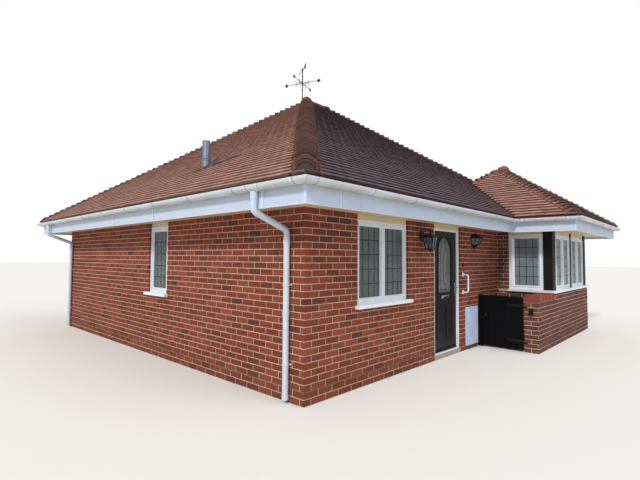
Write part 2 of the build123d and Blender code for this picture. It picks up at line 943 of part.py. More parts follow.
leaf_face = facing("entrance", leaf_centre, leaf_front, 0)
handle_x = leaf_width / 2 - handle_inset
with BuildPart() as door_furniture:
    with BuildSketch(leaf_face):
        with Locations((0, letter_plate_level)):
            RectangleRounded(letter_plate_width, letter_plate_height, letter_plate_corner)
    extrude(amount=plate_thickness)
    with BuildSketch(leaf_face):
        with Locations((handle_x, handle_level)):
            RectangleRounded(handle_plate_width, handle_plate_height, handle_plate_corner)
    extrude(amount=plate_thickness)
    with BuildSketch(leaf_face.offset(plate_thickness)):
        with Locations((handle_x, handle_level + spindle_lift)):
            Circle(spindle_radius)
    extrude(amount=handle_stand_off)
    with BuildSketch(leaf_face.offset(plate_thickness + handle_stand_off)):
        with Locations((handle_x - lever_reach / 2 + lever_overrun, handle_level + spindle_lift)):
            SlotOverall(lever_reach, lever_width)
    extrude(amount=lever_thickness)
finish("door_furniture", door_furniture.part)

hinge_x = leaf_left
hinge_y = leaf_back + hinge_offset
with BuildPart() as door_hinges:
    for level in door_hinge_levels:
        with BuildSketch(Plane.XY.offset(level)):
            with Locations((hinge_x, hinge_y)):
                Circle(hinge_barrel)
            with Locations((hinge_x + hinge_flag / 2, leaf_back + hinge_plate / 2)):
                Rectangle(hinge_flag, hinge_plate)
            with Locations((hinge_x, (leaf_back + hinge_y) / 2)):
                Rectangle(hinge_barrel, hinge_y - leaf_back)
        extrude(amount=hinge_height)
finish("door_hinges", door_hinges.part)


def square_loft(plane, low, high, height):
    """A square tapered block on a plane."""
    with BuildPart() as block:
        with BuildSketch(plane):
            Rectangle(low, low)
        with BuildSketch(plane.offset(height)):
            Rectangle(high, high)
        loft()
    return block.part


# Carriage lantern on its bracket
lantern_x = left + lantern_offset
lantern_y = front - lantern_reach
cage_top = lantern_bottom + lantern_cage_height
lantern_foot = Plane(origin=(lantern_x, lantern_y, lantern_bottom))
lantern_head = Plane(origin=(lantern_x, lantern_y, cage_top))
with BuildPart() as carriage_lantern:
    add(square_loft(lantern_foot, lantern_bottom_width, lantern_top_width, lantern_cage_height))
    add(
        square_loft(
            lantern_foot.offset(lantern_bar),
            lantern_bottom_width - 2 * lantern_wall,
            lantern_top_width - 2 * lantern_wall,
            lantern_cage_height - lantern_bar,
        ),
        mode=Mode.SUBTRACT,
    )
    for turn in (0, 90):
        across = (cos(radians(turn)), sin(radians(turn)), 0)
        through = (sin(radians(turn)), -cos(radians(turn)), 0)
        cutter = Plane(origin=(lantern_x, lantern_y, lantern_bottom), x_dir=across, z_dir=through)
        with BuildSketch(cutter):
            with BuildLine():
                Polyline(
                    (-lantern_bottom_width / 2 + lantern_bar, 2 * lantern_bar),
                    (lantern_bottom_width / 2 - lantern_bar, 2 * lantern_bar),
                    (lantern_top_width / 2 - 2 * lantern_bar, lantern_cage_height - lantern_bar),
                    (-lantern_top_width / 2 + 2 * lantern_bar, lantern_cage_height - lantern_bar),
                    close=True,
                )
            make_face()
        extrude(amount=lantern_top_width, both=True, mode=Mode.SUBTRACT)
    add(square_loft(lantern_head, lantern_top_width + 2 * lantern_bar, lantern_bar * 3, lantern_cap_height))
    with BuildSketch(lantern_head.offset(lantern_cap_height - finial_root)):
        Circle(lantern_bar)
    extrude(amount=3 * lantern_bar)
    with BuildSketch(facing("entrance", lantern_x, front, lantern_plate_level)):
        Rectangle(lantern_plate_width, lantern_plate_height)
    extrude(amount=lantern_plate_thickness)
    with BuildSketch(facing("entrance", lantern_x, front, cage_top + lantern_cap_height / 2)):
        Circle(lantern_bar)
    extrude(amount=lantern_reach)
finish("carriage_lantern", carriage_lantern.part)

with BuildPart() as lantern_panes:
    add(
        square_loft(
            lantern_foot.offset(lantern_bar + seat),
            lantern_bottom_width - 2 * lantern_wall - 2 * seat,
            lantern_top_width - 2 * lantern_wall - 2 * seat,
            lantern_cage_height - lantern_bar - 2 * seat,
        )
    )

# Half lantern on the other side of the door: a pointed back plate, a hood, three panes and a cup
bulkhead_x = left + bulkhead_offset
hood_base = bulkhead_level + bulkhead_height / 2 - bulkhead_hood_height
bowl_foot = hood_base - bowl_height
bulkhead_wall = front - lantern_plate_thickness


def half_hexagon_loft(low_radius, low, high_radius, high):
    """A tapered half hexagon standing against the lantern's back plate."""
    with BuildPart() as block:
        for radius, level in ((low_radius, low), (high_radius, high)):
            with BuildSketch(Plane.XY.offset(level)):
                with Locations((bulkhead_x, bulkhead_wall)):
                    RegularPolygon(radius, 6)
                with Locations((bulkhead_x, bulkhead_wall + radius)):
                    Rectangle(3 * radius, 2 * radius, mode=Mode.SUBTRACT)
        loft()
    return block.part


with BuildPart() as half_lantern:
    with BuildSketch(facing("entrance", bulkhead_x, front, bulkhead_level)):
        with BuildLine():
            Polyline(
                (-bulkhead_width / 2, bulkhead_height / 2),
                (bulkhead_width / 2, bulkhead_height / 2),
                (bulkhead_width / 2, bulkhead_point - bulkhead_height / 2),
                (0, -bulkhead_height / 2),
                (-bulkhead_width / 2, bulkhead_point - bulkhead_height / 2),
                close=True,
            )
        make_face()
    extrude(amount=lantern_plate_thickness)
    add(
        half_hexagon_loft(
            bulkhead_hood_radius, hood_base, bulkhead_crown_radius, hood_base + bulkhead_hood_height
        )
    )
    add(half_hexagon_loft(bowl_bar, bowl_foot - bowl_cup_height, bowl_foot_radius + bowl_bar, bowl_foot))
    for turn in (-60, -120):
        bar_out = Vector(cos(radians(turn)), sin(radians(turn)), 0)
        bar_head = Vector(bulkhead_x, bulkhead_wall, hood_base) + bar_out * (bowl_radius + bowl_bar + seat)
        bar_foot = Vector(bulkhead_x, bulkhead_wall, bowl_foot) + bar_out * (bowl_foot_radius + bowl_bar)
        add(rod(bar_foot, bar_head - bar_foot, (bar_head - bar_foot).length, bowl_bar))
finish("half_lantern", half_lantern.part)

with BuildPart() as lantern_glass:
    add(lantern_panes.part)
    add(half_hexagon_loft(bowl_foot_radius, bowl_foot, bowl_radius, hood_base))
    add(half_lantern.part, mode=Mode.SUBTRACT)
finish("lantern_glass", lantern_glass.part)

# Bell push and grab rail
with BuildPart() as bell_push:
    with BuildSketch(facing("entrance", left + bell_offset, front, bell_level)):
        RectangleRounded(bell_width, bell_height, bell_corner)
    extrude(amount=bell_thickness)
finish("bell_push", bell_push.part)

rail_x = left + rail_offset
with BuildPart() as grab_rail:
    with BuildLine():
        FilletPolyline(
            (rail_x, front, rail_low),
            (rail_x, front - rail_stand_off, rail_low),
            (rail_x, front - rail_stand_off, rail_high),
            (rail_x, front, rail_high),
            radius=rail_bend,
        )
    with BuildSketch(facing("entrance", rail_x, front, rail_low)):
        Circle(rail_radius)
    sweep()
    for level in (rail_low, rail_high):
        with BuildSketch(facing("entrance", rail_x, front, level)):
            Circle(rail_flange)
        extrude(amount=rail_flange_thickness)
finish("grab_rail", grab_rail.part)

# Meter box and its door
meter_start = left + meter_left
meter_end = meter_start + meter_width
meter_top = meter_bottom + meter_height
meter_hinge_x = meter_start + meter_door_thickness / 2
meter_hinge_y = front - meter_depth - meter_gap - meter_door_thickness / 2
meter_lugs = [(meter_bottom - meter_lug, meter_bottom, 1), (meter_top, meter_top + meter_lug, -1)]
with BuildPart() as meter_box:
    add(box_between(meter_start, meter_end, front - meter_depth, front, meter_bottom, meter_top))
    add(
        box_between(
            meter_start + meter_wall, meter_end - meter_wall, front - meter_depth,
            front - meter_wall, meter_bottom + meter_wall, meter_top - meter_wall,
        ),
        mode=Mode.SUBTRACT,
    )
    for low, high, inward in meter_lugs:
        add(
            box_between(
                meter_start, meter_start + meter_door_thickness, meter_hinge_y - meter_pin,
                front - meter_depth / 2, low, high,
            )
        )
        pin_start = (meter_hinge_x, meter_hinge_y, (low + high) / 2)
        add(rod(pin_start, (0, 0, inward), meter_pin_length, meter_pin))
finish("meter_box", meter_box.part)

with BuildPart() as meter_door:
    add(
        box_between(
            meter_start, meter_end, front - meter_depth - meter_gap - meter_door_thickness,
            front - meter_depth - meter_gap, meter_bottom + seat, meter_top - seat,
        )
    )
    fillet(meter_door.edges().filter_by(Axis.Z).sort_by(Axis.X)[:2], radius=meter_door_corner)
    for low, high, inward in meter_lugs:
        socket_mouth = (meter_hinge_x, meter_hinge_y, (low + high) / 2)
        socket = rod(socket_mouth, (0, 0, inward), meter_pin_length + meter_lug, meter_pin + pin_gap)
        add(socket, mode=Mode.SUBTRACT)
finish("meter_door", meter_door.part)

# Gate: boards on two rails, with hinge straps; a post on the house wall
gate_front = pier_end
gate_hinge_side = pier_back + gate_hinge_gap
gate_latch_side = front - gate_post - gate_latch_gap
gate_width = gate_latch_side - gate_hinge_side
board_width = (gate_width - board_gap * (gate_boards - 1)) / gate_boards
gate_back = gate_front + gate_board_thickness + gate_rail_thickness
gate_hinge_x = gate_front - gate_barrel
gate_hinge_y = pier_back + gate_hinge_gap / 2
gate_strap_inset = (gate_rail_height - gate_strap_height) / 2
with BuildPart() as bin_gate:
    for index in range(gate_boards):
        start = gate_hinge_side + index * (board_width + board_gap)
        add(box_between(gate_front, gate_front + gate_board_thickness, start, start + board_width,
                        gate_foot, gate_top))
    for level in gate_rail_levels:
        add(box_between(gate_front + gate_board_thickness, gate_back, gate_hinge_side, gate_latch_side,
                        level, level + gate_rail_height))
finish("bin_gate", bin_gate.part)

with BuildPart() as gate_hinges:
    for level in gate_rail_levels:
        low = level + gate_strap_inset
        strap_end = gate_hinge_side + gate_strap_reach
        barrel_foot = (gate_hinge_x, gate_hinge_y, low)
        add(
            box_between(
                gate_front - gate_strap_thickness, gate_front, gate_hinge_y, strap_end,
                low, low + gate_strap_height,
            )
        )
        add(rod(barrel_foot, (0, 0, 1), gate_strap_height, gate_barrel))
        add(rod(barrel_foot, (0, 0, 1), gate_strap_height, gate_pin + pin_gap), mode=Mode.SUBTRACT)
finish("gate_hinges", gate_hinges.part)

with BuildPart() as gate_frame:
    add(box_between(gate_front, gate_back, front - gate_post, front, 0, gate_top))
    for level in gate_rail_levels:
        bracket_top = level + gate_strap_inset - seat
        bracket_low = bracket_top - gate_bracket_height
        pin_foot = (gate_hinge_x, gate_hinge_y, bracket_low)
        add(
            box_between(
                gate_hinge_x - gate_pin, gate_front, pier_back - gate_bracket_reach, gate_hinge_y,
                bracket_low, bracket_top,
            )
        )
        add(rod(pin_foot, (0, 0, 1), gate_bracket_height, gate_pin + gate_pin_collar))
        add(rod(pin_foot, (0, 0, 1), gate_bracket_height + gate_strap_height, gate_pin))
finish("gate_frame", gate_frame.part)

with BuildPart() as key_safe:
    with BuildSketch(facing("left", pier_end, dwarf_front + pier_thickness / 2, key_safe_level)):
        RectangleRounded(key_safe_width, key_safe_height, key_safe_corner)
    extrude(amount=key_safe_depth)
finish("key_safe", key_safe.part)

# Flue through the left slope of the roof, with its lead flashing
flue_face_x = left + flue_x
flue_face_y = front + flue_y
flue_roof_level = eaves_top + slope * (flue_face_x - roof_left)
with BuildPart() as flue_pipe:
    with BuildSketch(Plane.XY.offset(eaves_top)):
        with Locations((flue_face_x, flue_face_y)):
            Circle(flue_radius)
            Circle(flue_radius - flue_wall, mode=Mode.SUBTRACT)
    extrude(amount=flue_top - eaves_top)
    with BuildSketch(Plane.XY.offset(collar_level)):
        with Locations((flue_face_x, flue_face_y)):
            Circle(collar_radius)
            Circle(flue_radius - flue_wall, mode=Mode.SUBTRACT)
    extrude(amount=collar_height)
    add(main_form, mode=Mode.SUBTRACT)
finish("flue_pipe", flue_pipe.part)

tilt = radians(roof_pitch)
flashing_plane = Plane(
    origin=(flue_face_x, flue_face_y, flue_roof_level), x_dir=(0, -1, 0), z_dir=(-sin(tilt), 0, cos(tilt))
)
with BuildPart() as flue_flashing:
    with BuildSketch(flashing_plane):
        Rectangle(flashing_width, flashing_length)
    extrude(amount=flashing_thickness)
    with BuildSketch(Plane.XY.offset(eaves_top)):
        with Locations((flue_face_x, flue_face_y)):
            Circle(flue_radius)
    extrude(amount=flue_top, mode=Mode.SUBTRACT)
finish("flue_flashing", flue_flashing.part)

# Weathervane: a fixed mast with four compass arms and a turning arrow
mast_x = left + vane_x
mast_y = front + vane_y
mast_inset = min(mast_x - roof_left, roof_right - mast_x, mast_y - roof_front, roof_back - mast_y)
mast_foot = eaves_top + slope * mast_inset - 2 * mast_radius
arm_level = mast_top - arm_drop
with BuildPart() as vane_mast:
    add(rod((mast_x, mast_y, mast_foot), (0, 0, 1), mast_top - mast_foot, mast_radius))
    add(rod((mast_x, mast_y, mast_top - pin_root), (0, 0, 1), pin_length + pin_root, pin_radius))
    with Locations((mast_x, mast_y, arm_level)):
        Sphere(ball_radius)
    with Locations((mast_x, mast_y, arm_level + bead_lift)):
        Sphere(bead_radius)
    for quarter in range(4):
        turn = radians(arm_turn + 90 * quarter)
        out = (cos(turn), sin(turn), 0)
        add(rod((mast_x, mast_y, arm_level), out, arm_reach, arm_radius))
        tip = (mast_x + cos(turn) * arm_reach, mast_y + sin(turn) * arm_reach, arm_level)
        with BuildSketch(Plane(origin=tip, x_dir=out, z_dir=(-sin(turn), cos(turn), 0))):
            Rectangle(arm_tip_width, arm_tip_width, rotation=45)
        extrude(amount=arm_tip_thickness, both=True)
    add(main_form, mode=Mode.SUBTRACT)
finish("vane_mast", vane_mast.part)

rotor_bottom = mast_top + seat
arrow_level = rotor_bottom + hub_height / 2
arrow_direction = Vector(cos(radians(arrow_turn)), sin(radians(arrow_turn)), 0)
arrow_side = Vector(-sin(radians(arrow_turn)), cos(radians(arrow_turn)), 0)
arrow_middle = Vector(mast_x, mast_y, arrow_level)
with BuildPart() as vane_arrow:
    with BuildSketch(Plane.XY.offset(rotor_bottom)):
        with Locations((mast_x, mast_y)):
            Circle(hub_radius)
    extrude(amount=hub_height)
    add(rod(arrow_middle - arrow_direction * arrow_reach, arrow_direction, 2 * arrow_reach, arrow_radius))
    with BuildSketch(Plane(origin=arrow_middle, x_dir=arrow_direction, z_dir=arrow_side)):
        with BuildLine():
            Polyline(
                (arrow_reach + arrow_head, 0), (arrow_reach, arrow_head / 2), (arrow_reach, -arrow_head / 2),
                close=True,
            )
        make_face()
        with BuildLine():
            Polyline(
                (-arrow_reach, 0),
                (-arrow_reach - arrow_head, arrow_head),
                (-arrow_reach + arrow_head, arrow_head),
                (-arrow_reach + 2 * arrow_head, 0),
                (-arrow_reach + arrow_head, -arrow_head),
                (-arrow_reach - arrow_head, -arrow_head),
                close=True,
            )
        make_face()
    extrude(amount=arrow_thickness / 2, both=True)
    with BuildSketch(Plane.XY.offset(rotor_bottom)):
        with Locations((mast_x, mast_y)):
            Circle(pin_radius + pin_gap)
    extrude(amount=pin_length + pin_root, mode=Mode.SUBTRACT)
finish("vane_arrow", vane_arrow.part)
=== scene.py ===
import math
import random

import bpy
from mathutils import Matrix, Vector


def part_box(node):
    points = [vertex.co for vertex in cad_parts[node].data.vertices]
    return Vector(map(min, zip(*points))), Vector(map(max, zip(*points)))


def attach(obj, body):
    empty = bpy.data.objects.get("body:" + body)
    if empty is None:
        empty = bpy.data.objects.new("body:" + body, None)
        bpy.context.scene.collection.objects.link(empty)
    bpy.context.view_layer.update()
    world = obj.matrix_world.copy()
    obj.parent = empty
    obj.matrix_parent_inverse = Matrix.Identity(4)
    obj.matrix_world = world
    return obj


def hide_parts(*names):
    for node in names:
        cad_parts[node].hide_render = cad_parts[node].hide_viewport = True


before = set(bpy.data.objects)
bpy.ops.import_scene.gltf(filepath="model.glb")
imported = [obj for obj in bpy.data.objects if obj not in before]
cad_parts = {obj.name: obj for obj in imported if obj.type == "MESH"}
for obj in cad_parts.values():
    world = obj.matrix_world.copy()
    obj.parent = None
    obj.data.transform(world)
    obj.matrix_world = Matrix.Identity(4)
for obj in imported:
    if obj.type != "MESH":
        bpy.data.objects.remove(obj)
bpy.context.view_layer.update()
rng = random.Random(7)

# Camera at the photograph's place, in the shared frame
CAMERA_PLACE = Vector((-7.1892, -6.8871, 1.5509))
CAMERA_YAW = math.radians(43.0465)
CAMERA_PITCH = math.radians(2.4825)
CAMERA_ROLL = math.radians(0.4232)
CAMERA_LENS = 23.711
SENSOR_WIDTH = 36
CLIP_END = 400


def make_camera():
    """The camera, turned by yaw, pitch and roll as the photograph was."""
    data = bpy.data.cameras.new("camera")
    data.sensor_fit = "HORIZONTAL"
    data.sensor_width = SENSOR_WIDTH
    data.lens = CAMERA_LENS
    data.clip_end = CLIP_END
    camera = bpy.data.objects.new("camera", data)
    bpy.context.scene.collection.objects.link(camera)
    level_right = Vector((math.sin(CAMERA_YAW), -math.cos(CAMERA_YAW), 0))
    flat = math.cos(CAMERA_PITCH)
    forward = Vector((math.cos(CAMERA_YAW) * flat, math.sin(CAMERA_YAW) * flat, math.sin(CAMERA_PITCH)))
    level_up = level_right.cross(forward)
    right = level_right * math.cos(CAMERA_ROLL) + level_up * math.sin(CAMERA_ROLL)
    up = level_up * math.cos(CAMERA_ROLL) - level_right * math.sin(CAMERA_ROLL)
    turn = Matrix((right, up, -forward)).transposed()
    camera.matrix_world = Matrix.Translation(CAMERA_PLACE) @ turn.to_4x4()
    bpy.context.scene.camera = camera


make_camera()

# Places of the model, in metres: outer faces of walls, levels and roof edges
LEFT, RIGHT, FRONT, BACK = -4.05, 4.05, -3.74, 3.74
WING_LEFT, WING_FRONT, DWARF_FRONT = 1.375, -4.725, -4.75
PIER_END, PIER_BACK, RETURN_FRONT = 0.4, -4.527, -3.951
WALL = 0.2
SOFFIT, EAVES_TOP, HEAD_BOTTOM = 2.1, 2.32, 2.03
SILL_BOTTOM, SILL_TOP = 0.945, 0.99
CREASING = 0.825
PITCH = math.radians(34.4)
SLOPE = math.tan(PITCH)
roof_low, roof_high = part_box("main_roof")
wing_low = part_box("wing_roof")[0]
ROOF_LEFT, ROOF_RIGHT = roof_low.x, roof_high.x
ROOF_FRONT, ROOF_BACK = roof_low.y, roof_high.y
WING_ROOF_LEFT, WING_ROOF_FRONT = wing_low.x, wing_low.y
WING_RIDGE = 0.16
WING_BACK = WING_ROOF_FRONT + (ROOF_RIGHT - WING_ROOF_LEFT) + WING_RIDGE
MEETING_INSET = (WING_BACK - ROOF_FRONT) / 2
WING_HALF = (ROOF_RIGHT - WING_ROOF_LEFT) / 2
MAIN_HALF = (ROOF_BACK - ROOF_FRONT) / 2

# Openings by start and end: the side window's from the front, the others' from the left of their wall
ENTRANCE_WINDOW = (0.89, 2.05)
DOORWAY = (2.805, 3.725)
SIDE_WINDOW = (2.99, 3.61)
REAR_WINDOWS = ((1.4, 2.56), (5.54, 6.7))

# Finishes, each kept under its name
FINISH = {}


def linear(rgb):
    """An sRGB colour in 0 to 255 as Blender's linear colour."""
    out = [c / 255 for c in rgb]
    out = [c / 12.92 if c <= 0.04045 else ((c + 0.055) / 1.055) ** 2.4 for c in out]
    return (*out, 1.0)


def shade(colour, factor):
    """A colour made darker or lighter."""
    return tuple(min(255, c * factor) for c in colour)


class Surface:
    """A node material under construction."""

    def __init__(self, name):
        FINISH[name] = self.material = bpy.data.materials.new(name)
        self.material.use_nodes = True
        self.tree = self.material.node_tree
        self.shader = self.tree.nodes["Principled BSDF"]
        self.place = self.node("ShaderNodeTexCoord", {}, "Object")

    def put(self, socket, value):
        """Link a socket or set it, a colour from sRGB."""
        if isinstance(value, bpy.types.NodeSocket):
            self.tree.links.new(value, socket)
        else:
            socket.default_value = linear(value) if socket.type == "RGBA" else value

    def node(self, kind, inputs, output, **settings):
        """One output of a new node with its settings and inputs."""
        made = self.tree.nodes.new(kind)
        for key, value in settings.items():
            setattr(made, key, value)
        for key, value in inputs.items():
            self.put(made.inputs[key], value)
        return made.outputs[output]

    def noise(self, scale, detail=3.0, roughness=0.55, stretch=None, distortion=0.0):
        """Noise over the object's own coordinates, stretched where asked for."""
        where = self.place
        if stretch:
            where = self.node("ShaderNodeMapping", {"Vector": where, "Scale": stretch}, "Vector")
        return self.node("ShaderNodeTexNoise", {"Vector": where, "Scale": scale, "Detail": detail,
                                                "Roughness": roughness, "Distortion": distortion}, "Fac")

    def attribute(self, name):
        return self.node("ShaderNodeAttribute", {}, "Fac", attribute_name=name)

    def axis(self, name, vector=None):
        return self.node("ShaderNodeSeparateXYZ", {0: self.place if vector is None else vector}, name)

    def combine(self, first, second, operation="ADD"):
        return self.node("ShaderNodeMath", {0: first, 1: second}, 0, operation=operation)

    def span(self, value, low, high, out_low=0.0, out_high=1.0):
        """A value between two limits, spread between two others."""
        return self.node("ShaderNodeMapRange", {"Value": value, "From Min": low, "From Max": high,
                                                "To Min": out_low, "To Max": out_high}, "Result")

    def mix(self, factor, first, second):
        return self.node("ShaderNodeMix", {"Factor": factor, 6: first, 7: second}, 2, data_type="RGBA")

    def stain(self, base, mask, low, high, amount, colour):
        """A colour laid over the base where a mask lies above low, in full from high."""
        return self.mix(self.span(mask, low, high, 0.0, amount), base, colour)

    def ramp(self, factor, stops):
        """Colours blended along a factor."""
        made = self.tree.nodes.new("ShaderNodeValToRGB")
        elements = made.color_ramp.elements
        while len(elements) < len(stops):
            elements.new(0.5)
        for element, (position, colour) in zip(elements, stops):
            element.position = position
            element.color = linear(colour)
        self.put(made.inputs["Fac"], factor)
        return made.outputs["Color"]

    def finish(self, base, grain, rough, height, depth, **settings):
        """The shader's colour, roughness from a grain, bump from a height, and plain settings."""
        names = {"metallic": "Metallic", "coat": "Coat Weight", "specular": "Specular IOR Level",
                 "transmission": "Transmission Weight", "ior": "IOR"}
        self.put(self.shader.inputs["Base Color"], base)
        self.put(self.shader.inputs["Roughness"], self.span(grain, 0.3, 0.7, *rough))
        bump = self.node("ShaderNodeBump", {"Height": height, "Distance": depth}, "Normal")
        self.put(self.shader.inputs["Normal"], bump)
        for key, value in settings.items():
            self.put(self.shader.inputs[names[key]], value)


def mottled(name, colour, spread, scale, rough, fine, depth, metallic=0.0, grime=0.0, stretch=None,
            specular=0.5):
    """A one-colour finish with mottling, a fine grain and, where asked for, streaks of grime."""
    surface = Surface(name)
    cloud = surface.noise(scale, 4, 0.6, stretch)
    lighter = shade(colour, 1 + spread * 0.6)
    base = surface.ramp(cloud, [(0.28, shade(colour, 1 - spread)), (0.5, colour), (0.75, lighter)])
    if grime:
        streak = surface.noise(5, 5, 0.65, (3.0, 3.0, 0.6))
        base = surface.stain(base, streak, 0.5, 0.75, grime, shade(colour, 0.55))
    grain = surface.noise(fine, 3, 0.6, stretch)
    surface.finish(base, grain, rough, grain, depth, metallic=metallic, specular=specular)


def eaves_finish(name, colour, low, high, shade_and_stain, amount):
    """White plastic with a yellowish band between two heights, partly stain and partly painted shade, and
    grey streaks.
    """
    surface = Surface(name)
    rain_grey = (150, 150, 144)
    base = surface.ramp(surface.noise(2.5, 4, 0.6), [(0.3, shade(colour, 0.97)), (0.7, colour)])
    band = surface.span(surface.axis("Z"), low, high)
    patch = surface.span(surface.noise(2.2, 5, 0.65), 0.38, 0.62, 0.15, amount)
    base = surface.mix(surface.combine(band, patch, "MULTIPLY"), base, shade_and_stain)
    base = surface.stain(base, surface.noise(16, 5, 0.7, (1.0, 1.0, 0.12)), 0.55, 0.75, 0.14, rain_grey)
    surface.finish(base, surface.noise(60, 3, 0.6), (0.25, 0.42), surface.noise(90, 3, 0.6), 0.0002)


def brick_finish(name, stops, scorched=0.22):
    """Fired clay: each brick its own colour from the tone it was given, splashed near the ground."""
    surface = Surface(name)
    scorch, bloom, soil = (70, 48, 46), (178, 118, 100), (74, 62, 52)
    blotch = surface.noise(26, 5, 0.65)
    base = surface.ramp(surface.attribute("tone"), stops)
    base = surface.stain(base, blotch, 0.52, 0.72, scorched, scorch)
    base = surface.stain(base, surface.noise(60, 3, 0.6), 0.6, 0.75, 0.3, bloom)
    splash = surface.span(surface.axis("Z"), 0.0, 0.45, 0.35, 0.0)
    base = surface.mix(surface.combine(splash, surface.noise(3, 4, 0.6), "MULTIPLY"), base, soil)
    grain = surface.noise(150, 5, 0.7)
    surface.finish(base, grain, (0.78, 0.96), surface.combine(grain, blotch), 0.0022, specular=0.3)


def tile_finish(name, stops, tail_shade_amount, under_tail_shade, moss=0.2):
    """Plain clay roof tiles, weathered, a little moss and lichen on them, with painted shade on their tails
    and in a band below each tail.
    """
    surface = Surface(name)
    moss_green, lichen_grey = (104, 96, 74), (176, 168, 150)
    tail_shade_colour, under_tail_shade_colour = (44, 32, 32), (52, 36, 34)
    base = surface.ramp(surface.attribute("tone"), stops)
    base = surface.stain(base, surface.noise(0.9, 4, 0.6), 0.35, 0.7, 0.3, stops[0][1])
    base = surface.stain(base, surface.noise(34, 4, 0.65), 0.55, 0.72, 0.45, stops[-1][1])
    patch = surface.span(surface.noise(2.2, 6, 0.7), 0.55, 0.7)
    speck = surface.span(surface.noise(70, 3, 0.6), 0.5, 0.62)
    growth = surface.combine(patch, speck, "MULTIPLY")
    base = surface.mix(surface.combine(growth, moss, "MULTIPLY"), base, moss_green)
    base = surface.stain(base, surface.noise(46, 2, 0.5), 0.70, 0.76, 0.5, lichen_grey)
    upward = surface.axis("Z", surface.node("ShaderNodeNewGeometry", {}, "True Normal"))
    # Painted shade: faces that point downward, the tiles' tails, are darkened.
    base = surface.mix(surface.span(upward, -0.2, 0.4, tail_shade_amount, 0.0), base, tail_shade_colour)
    # Painted shade: a dark band on the upper part of each exposed tile, just below the tail of the course
    # above.
    base = surface.stain(base, surface.attribute("under_tail_shade"), 0.48, 0.8, under_tail_shade, under_tail_shade_colour)
    grain = surface.noise(120, 4, 0.65)
    surface.finish(base, grain, (0.75, 0.95), grain, 0.0015, specular=0.3)


def mortar_finish(name):
    """Sand and cement outside, and painted plaster inside the rooms."""
    surface = Surface(name)
    sand = surface.ramp(surface.noise(14, 5, 0.65),
                        [(0.3, (176, 152, 132)), (0.55, (196, 172, 149)), (0.75, (210, 187, 165))])
    plaster = surface.ramp(surface.noise(2, 3, 0.5), [(0.3, (216, 212, 202)), (0.7, (228, 224, 214))])
    x, y = surface.axis("X"), surface.axis("Y")
    in_main = surface.combine(y, FRONT + WALL, "GREATER_THAN")
    in_wing = surface.combine(x, WING_LEFT + WALL, "GREATER_THAN")
    inside = surface.combine(in_main, in_wing, "MAXIMUM")
    for value, limit, side in ((x, LEFT + WALL, "GREATER_THAN"), (x, RIGHT - WALL, "LESS_THAN"),
                               (y, DWARF_FRONT + WALL, "GREATER_THAN"), (y, BACK - WALL, "LESS_THAN")):
        inside = surface.combine(inside, surface.combine(value, limit, side), "MULTIPLY")
    grain = surface.noise(320, 4, 0.7)
    surface.finish(surface.mix(inside, sand, plaster), grain, (0.85, 0.98), grain, 0.0012, specular=0.25)


def glass_finish(name, tint, roughness, transmission):
    """Clouded and faintly smeared glass."""
    surface = Surface(name)
    base = surface.ramp(surface.noise(3, 3, 0.5), [(0.3, shade(tint, 0.94)), (0.7, tint)])
    surface.finish(base, surface.noise(9, 4, 0.6), (roughness, roughness + 0.04), surface.noise(1.6, 2, 0.5),
                   0.0015, transmission=transmission, ior=1.45)


def wood_finish(name, dark, light, rough, coat, specular):
    """Painted or stained upright boards with their grain along them."""
    surface = Surface(name)
    grain = surface.noise(3.2, 6, 0.7, (22.0, 22.0, 1.2), 0.6)
    base = surface.ramp(grain, [(0.3, dark), (0.6, light), (0.8, dark)])
    base = surface.stain(base, surface.attribute("tone"), 0, 1, 0.4, dark)
    surface.finish(base, grain, rough, grain, 0.0012, coat=coat, specular=specular)


brick_finish("brick", [(0.0, (84, 47, 41)), (0.05, (102, 49, 36)), (0.2, (114, 52, 36)),
                       (0.6, (124, 57, 40)), (0.85, (136, 68, 48)), (1.0, (118, 62, 48))])
# Painted shade: brick_shaded_low is the brick made darker and bluer, for the low wall, its pier and the
# wing's walls.
brick_finish("brick_shaded_low", [(0.0, (68, 47, 48)), (0.06, (83, 51, 49)), (0.3, (94, 54, 50)),
                           (0.6, (103, 60, 55)), (0.85, (115, 70, 63)), (1.0, (94, 58, 56))])
brick_finish("coping_brick", [(0.0, (112, 56, 44)), (0.5, (132, 70, 54)), (1.0, (146, 84, 66))], 0.15)
mortar_finish("mortar_and_plaster")
tile_finish("tiles_warm", [(0.0, (163, 121, 108)), (0.3, (174, 129, 116)), (0.6, (184, 137, 123)),
                           (0.85, (193, 147, 131)), (1.0, (158, 117, 106))], 0.5, 0.55)
# Painted shade: tiles_painted_shade is the tile of tiles_warm, darker and more mauve, for the slopes on the
# entrance side.
tile_finish("tiles_painted_shade", [(0.0, (93, 76, 84)), (0.3, (101, 83, 91)), (0.6, (109, 89, 97)),
                           (0.85, (118, 97, 104)), (1.0, (90, 74, 83))], 0.6, 0.5)
tile_finish("tiles_red", [(0.0, (154, 110, 100)), (0.3, (165, 118, 107)), (0.6, (176, 127, 115)),
                          (0.85, (187, 137, 124)), (1.0, (150, 108, 101))], 0.9, 0.85)
# Painted shade: the stops below 0.35 in both bonnet palettes are bonnets and ridge tiles in shade.
tile_finish("bonnet_tiles", [(0.0, (50, 41, 46)), (0.25, (74, 56, 60)), (0.35, (108, 75, 65)),
                             (0.6, (126, 87, 75)), (0.85, (148, 105, 91)), (1.0, (98, 70, 63))], 0.95, 0.8)
tile_finish("wing_bonnet_tiles", [(0.0, (80, 60, 60)), (0.35, (116, 80, 72)), (0.6, (138, 97, 86)),
                                  (0.85, (154, 111, 99)), (1.0, (104, 74, 69))], 0.9, 0.85)
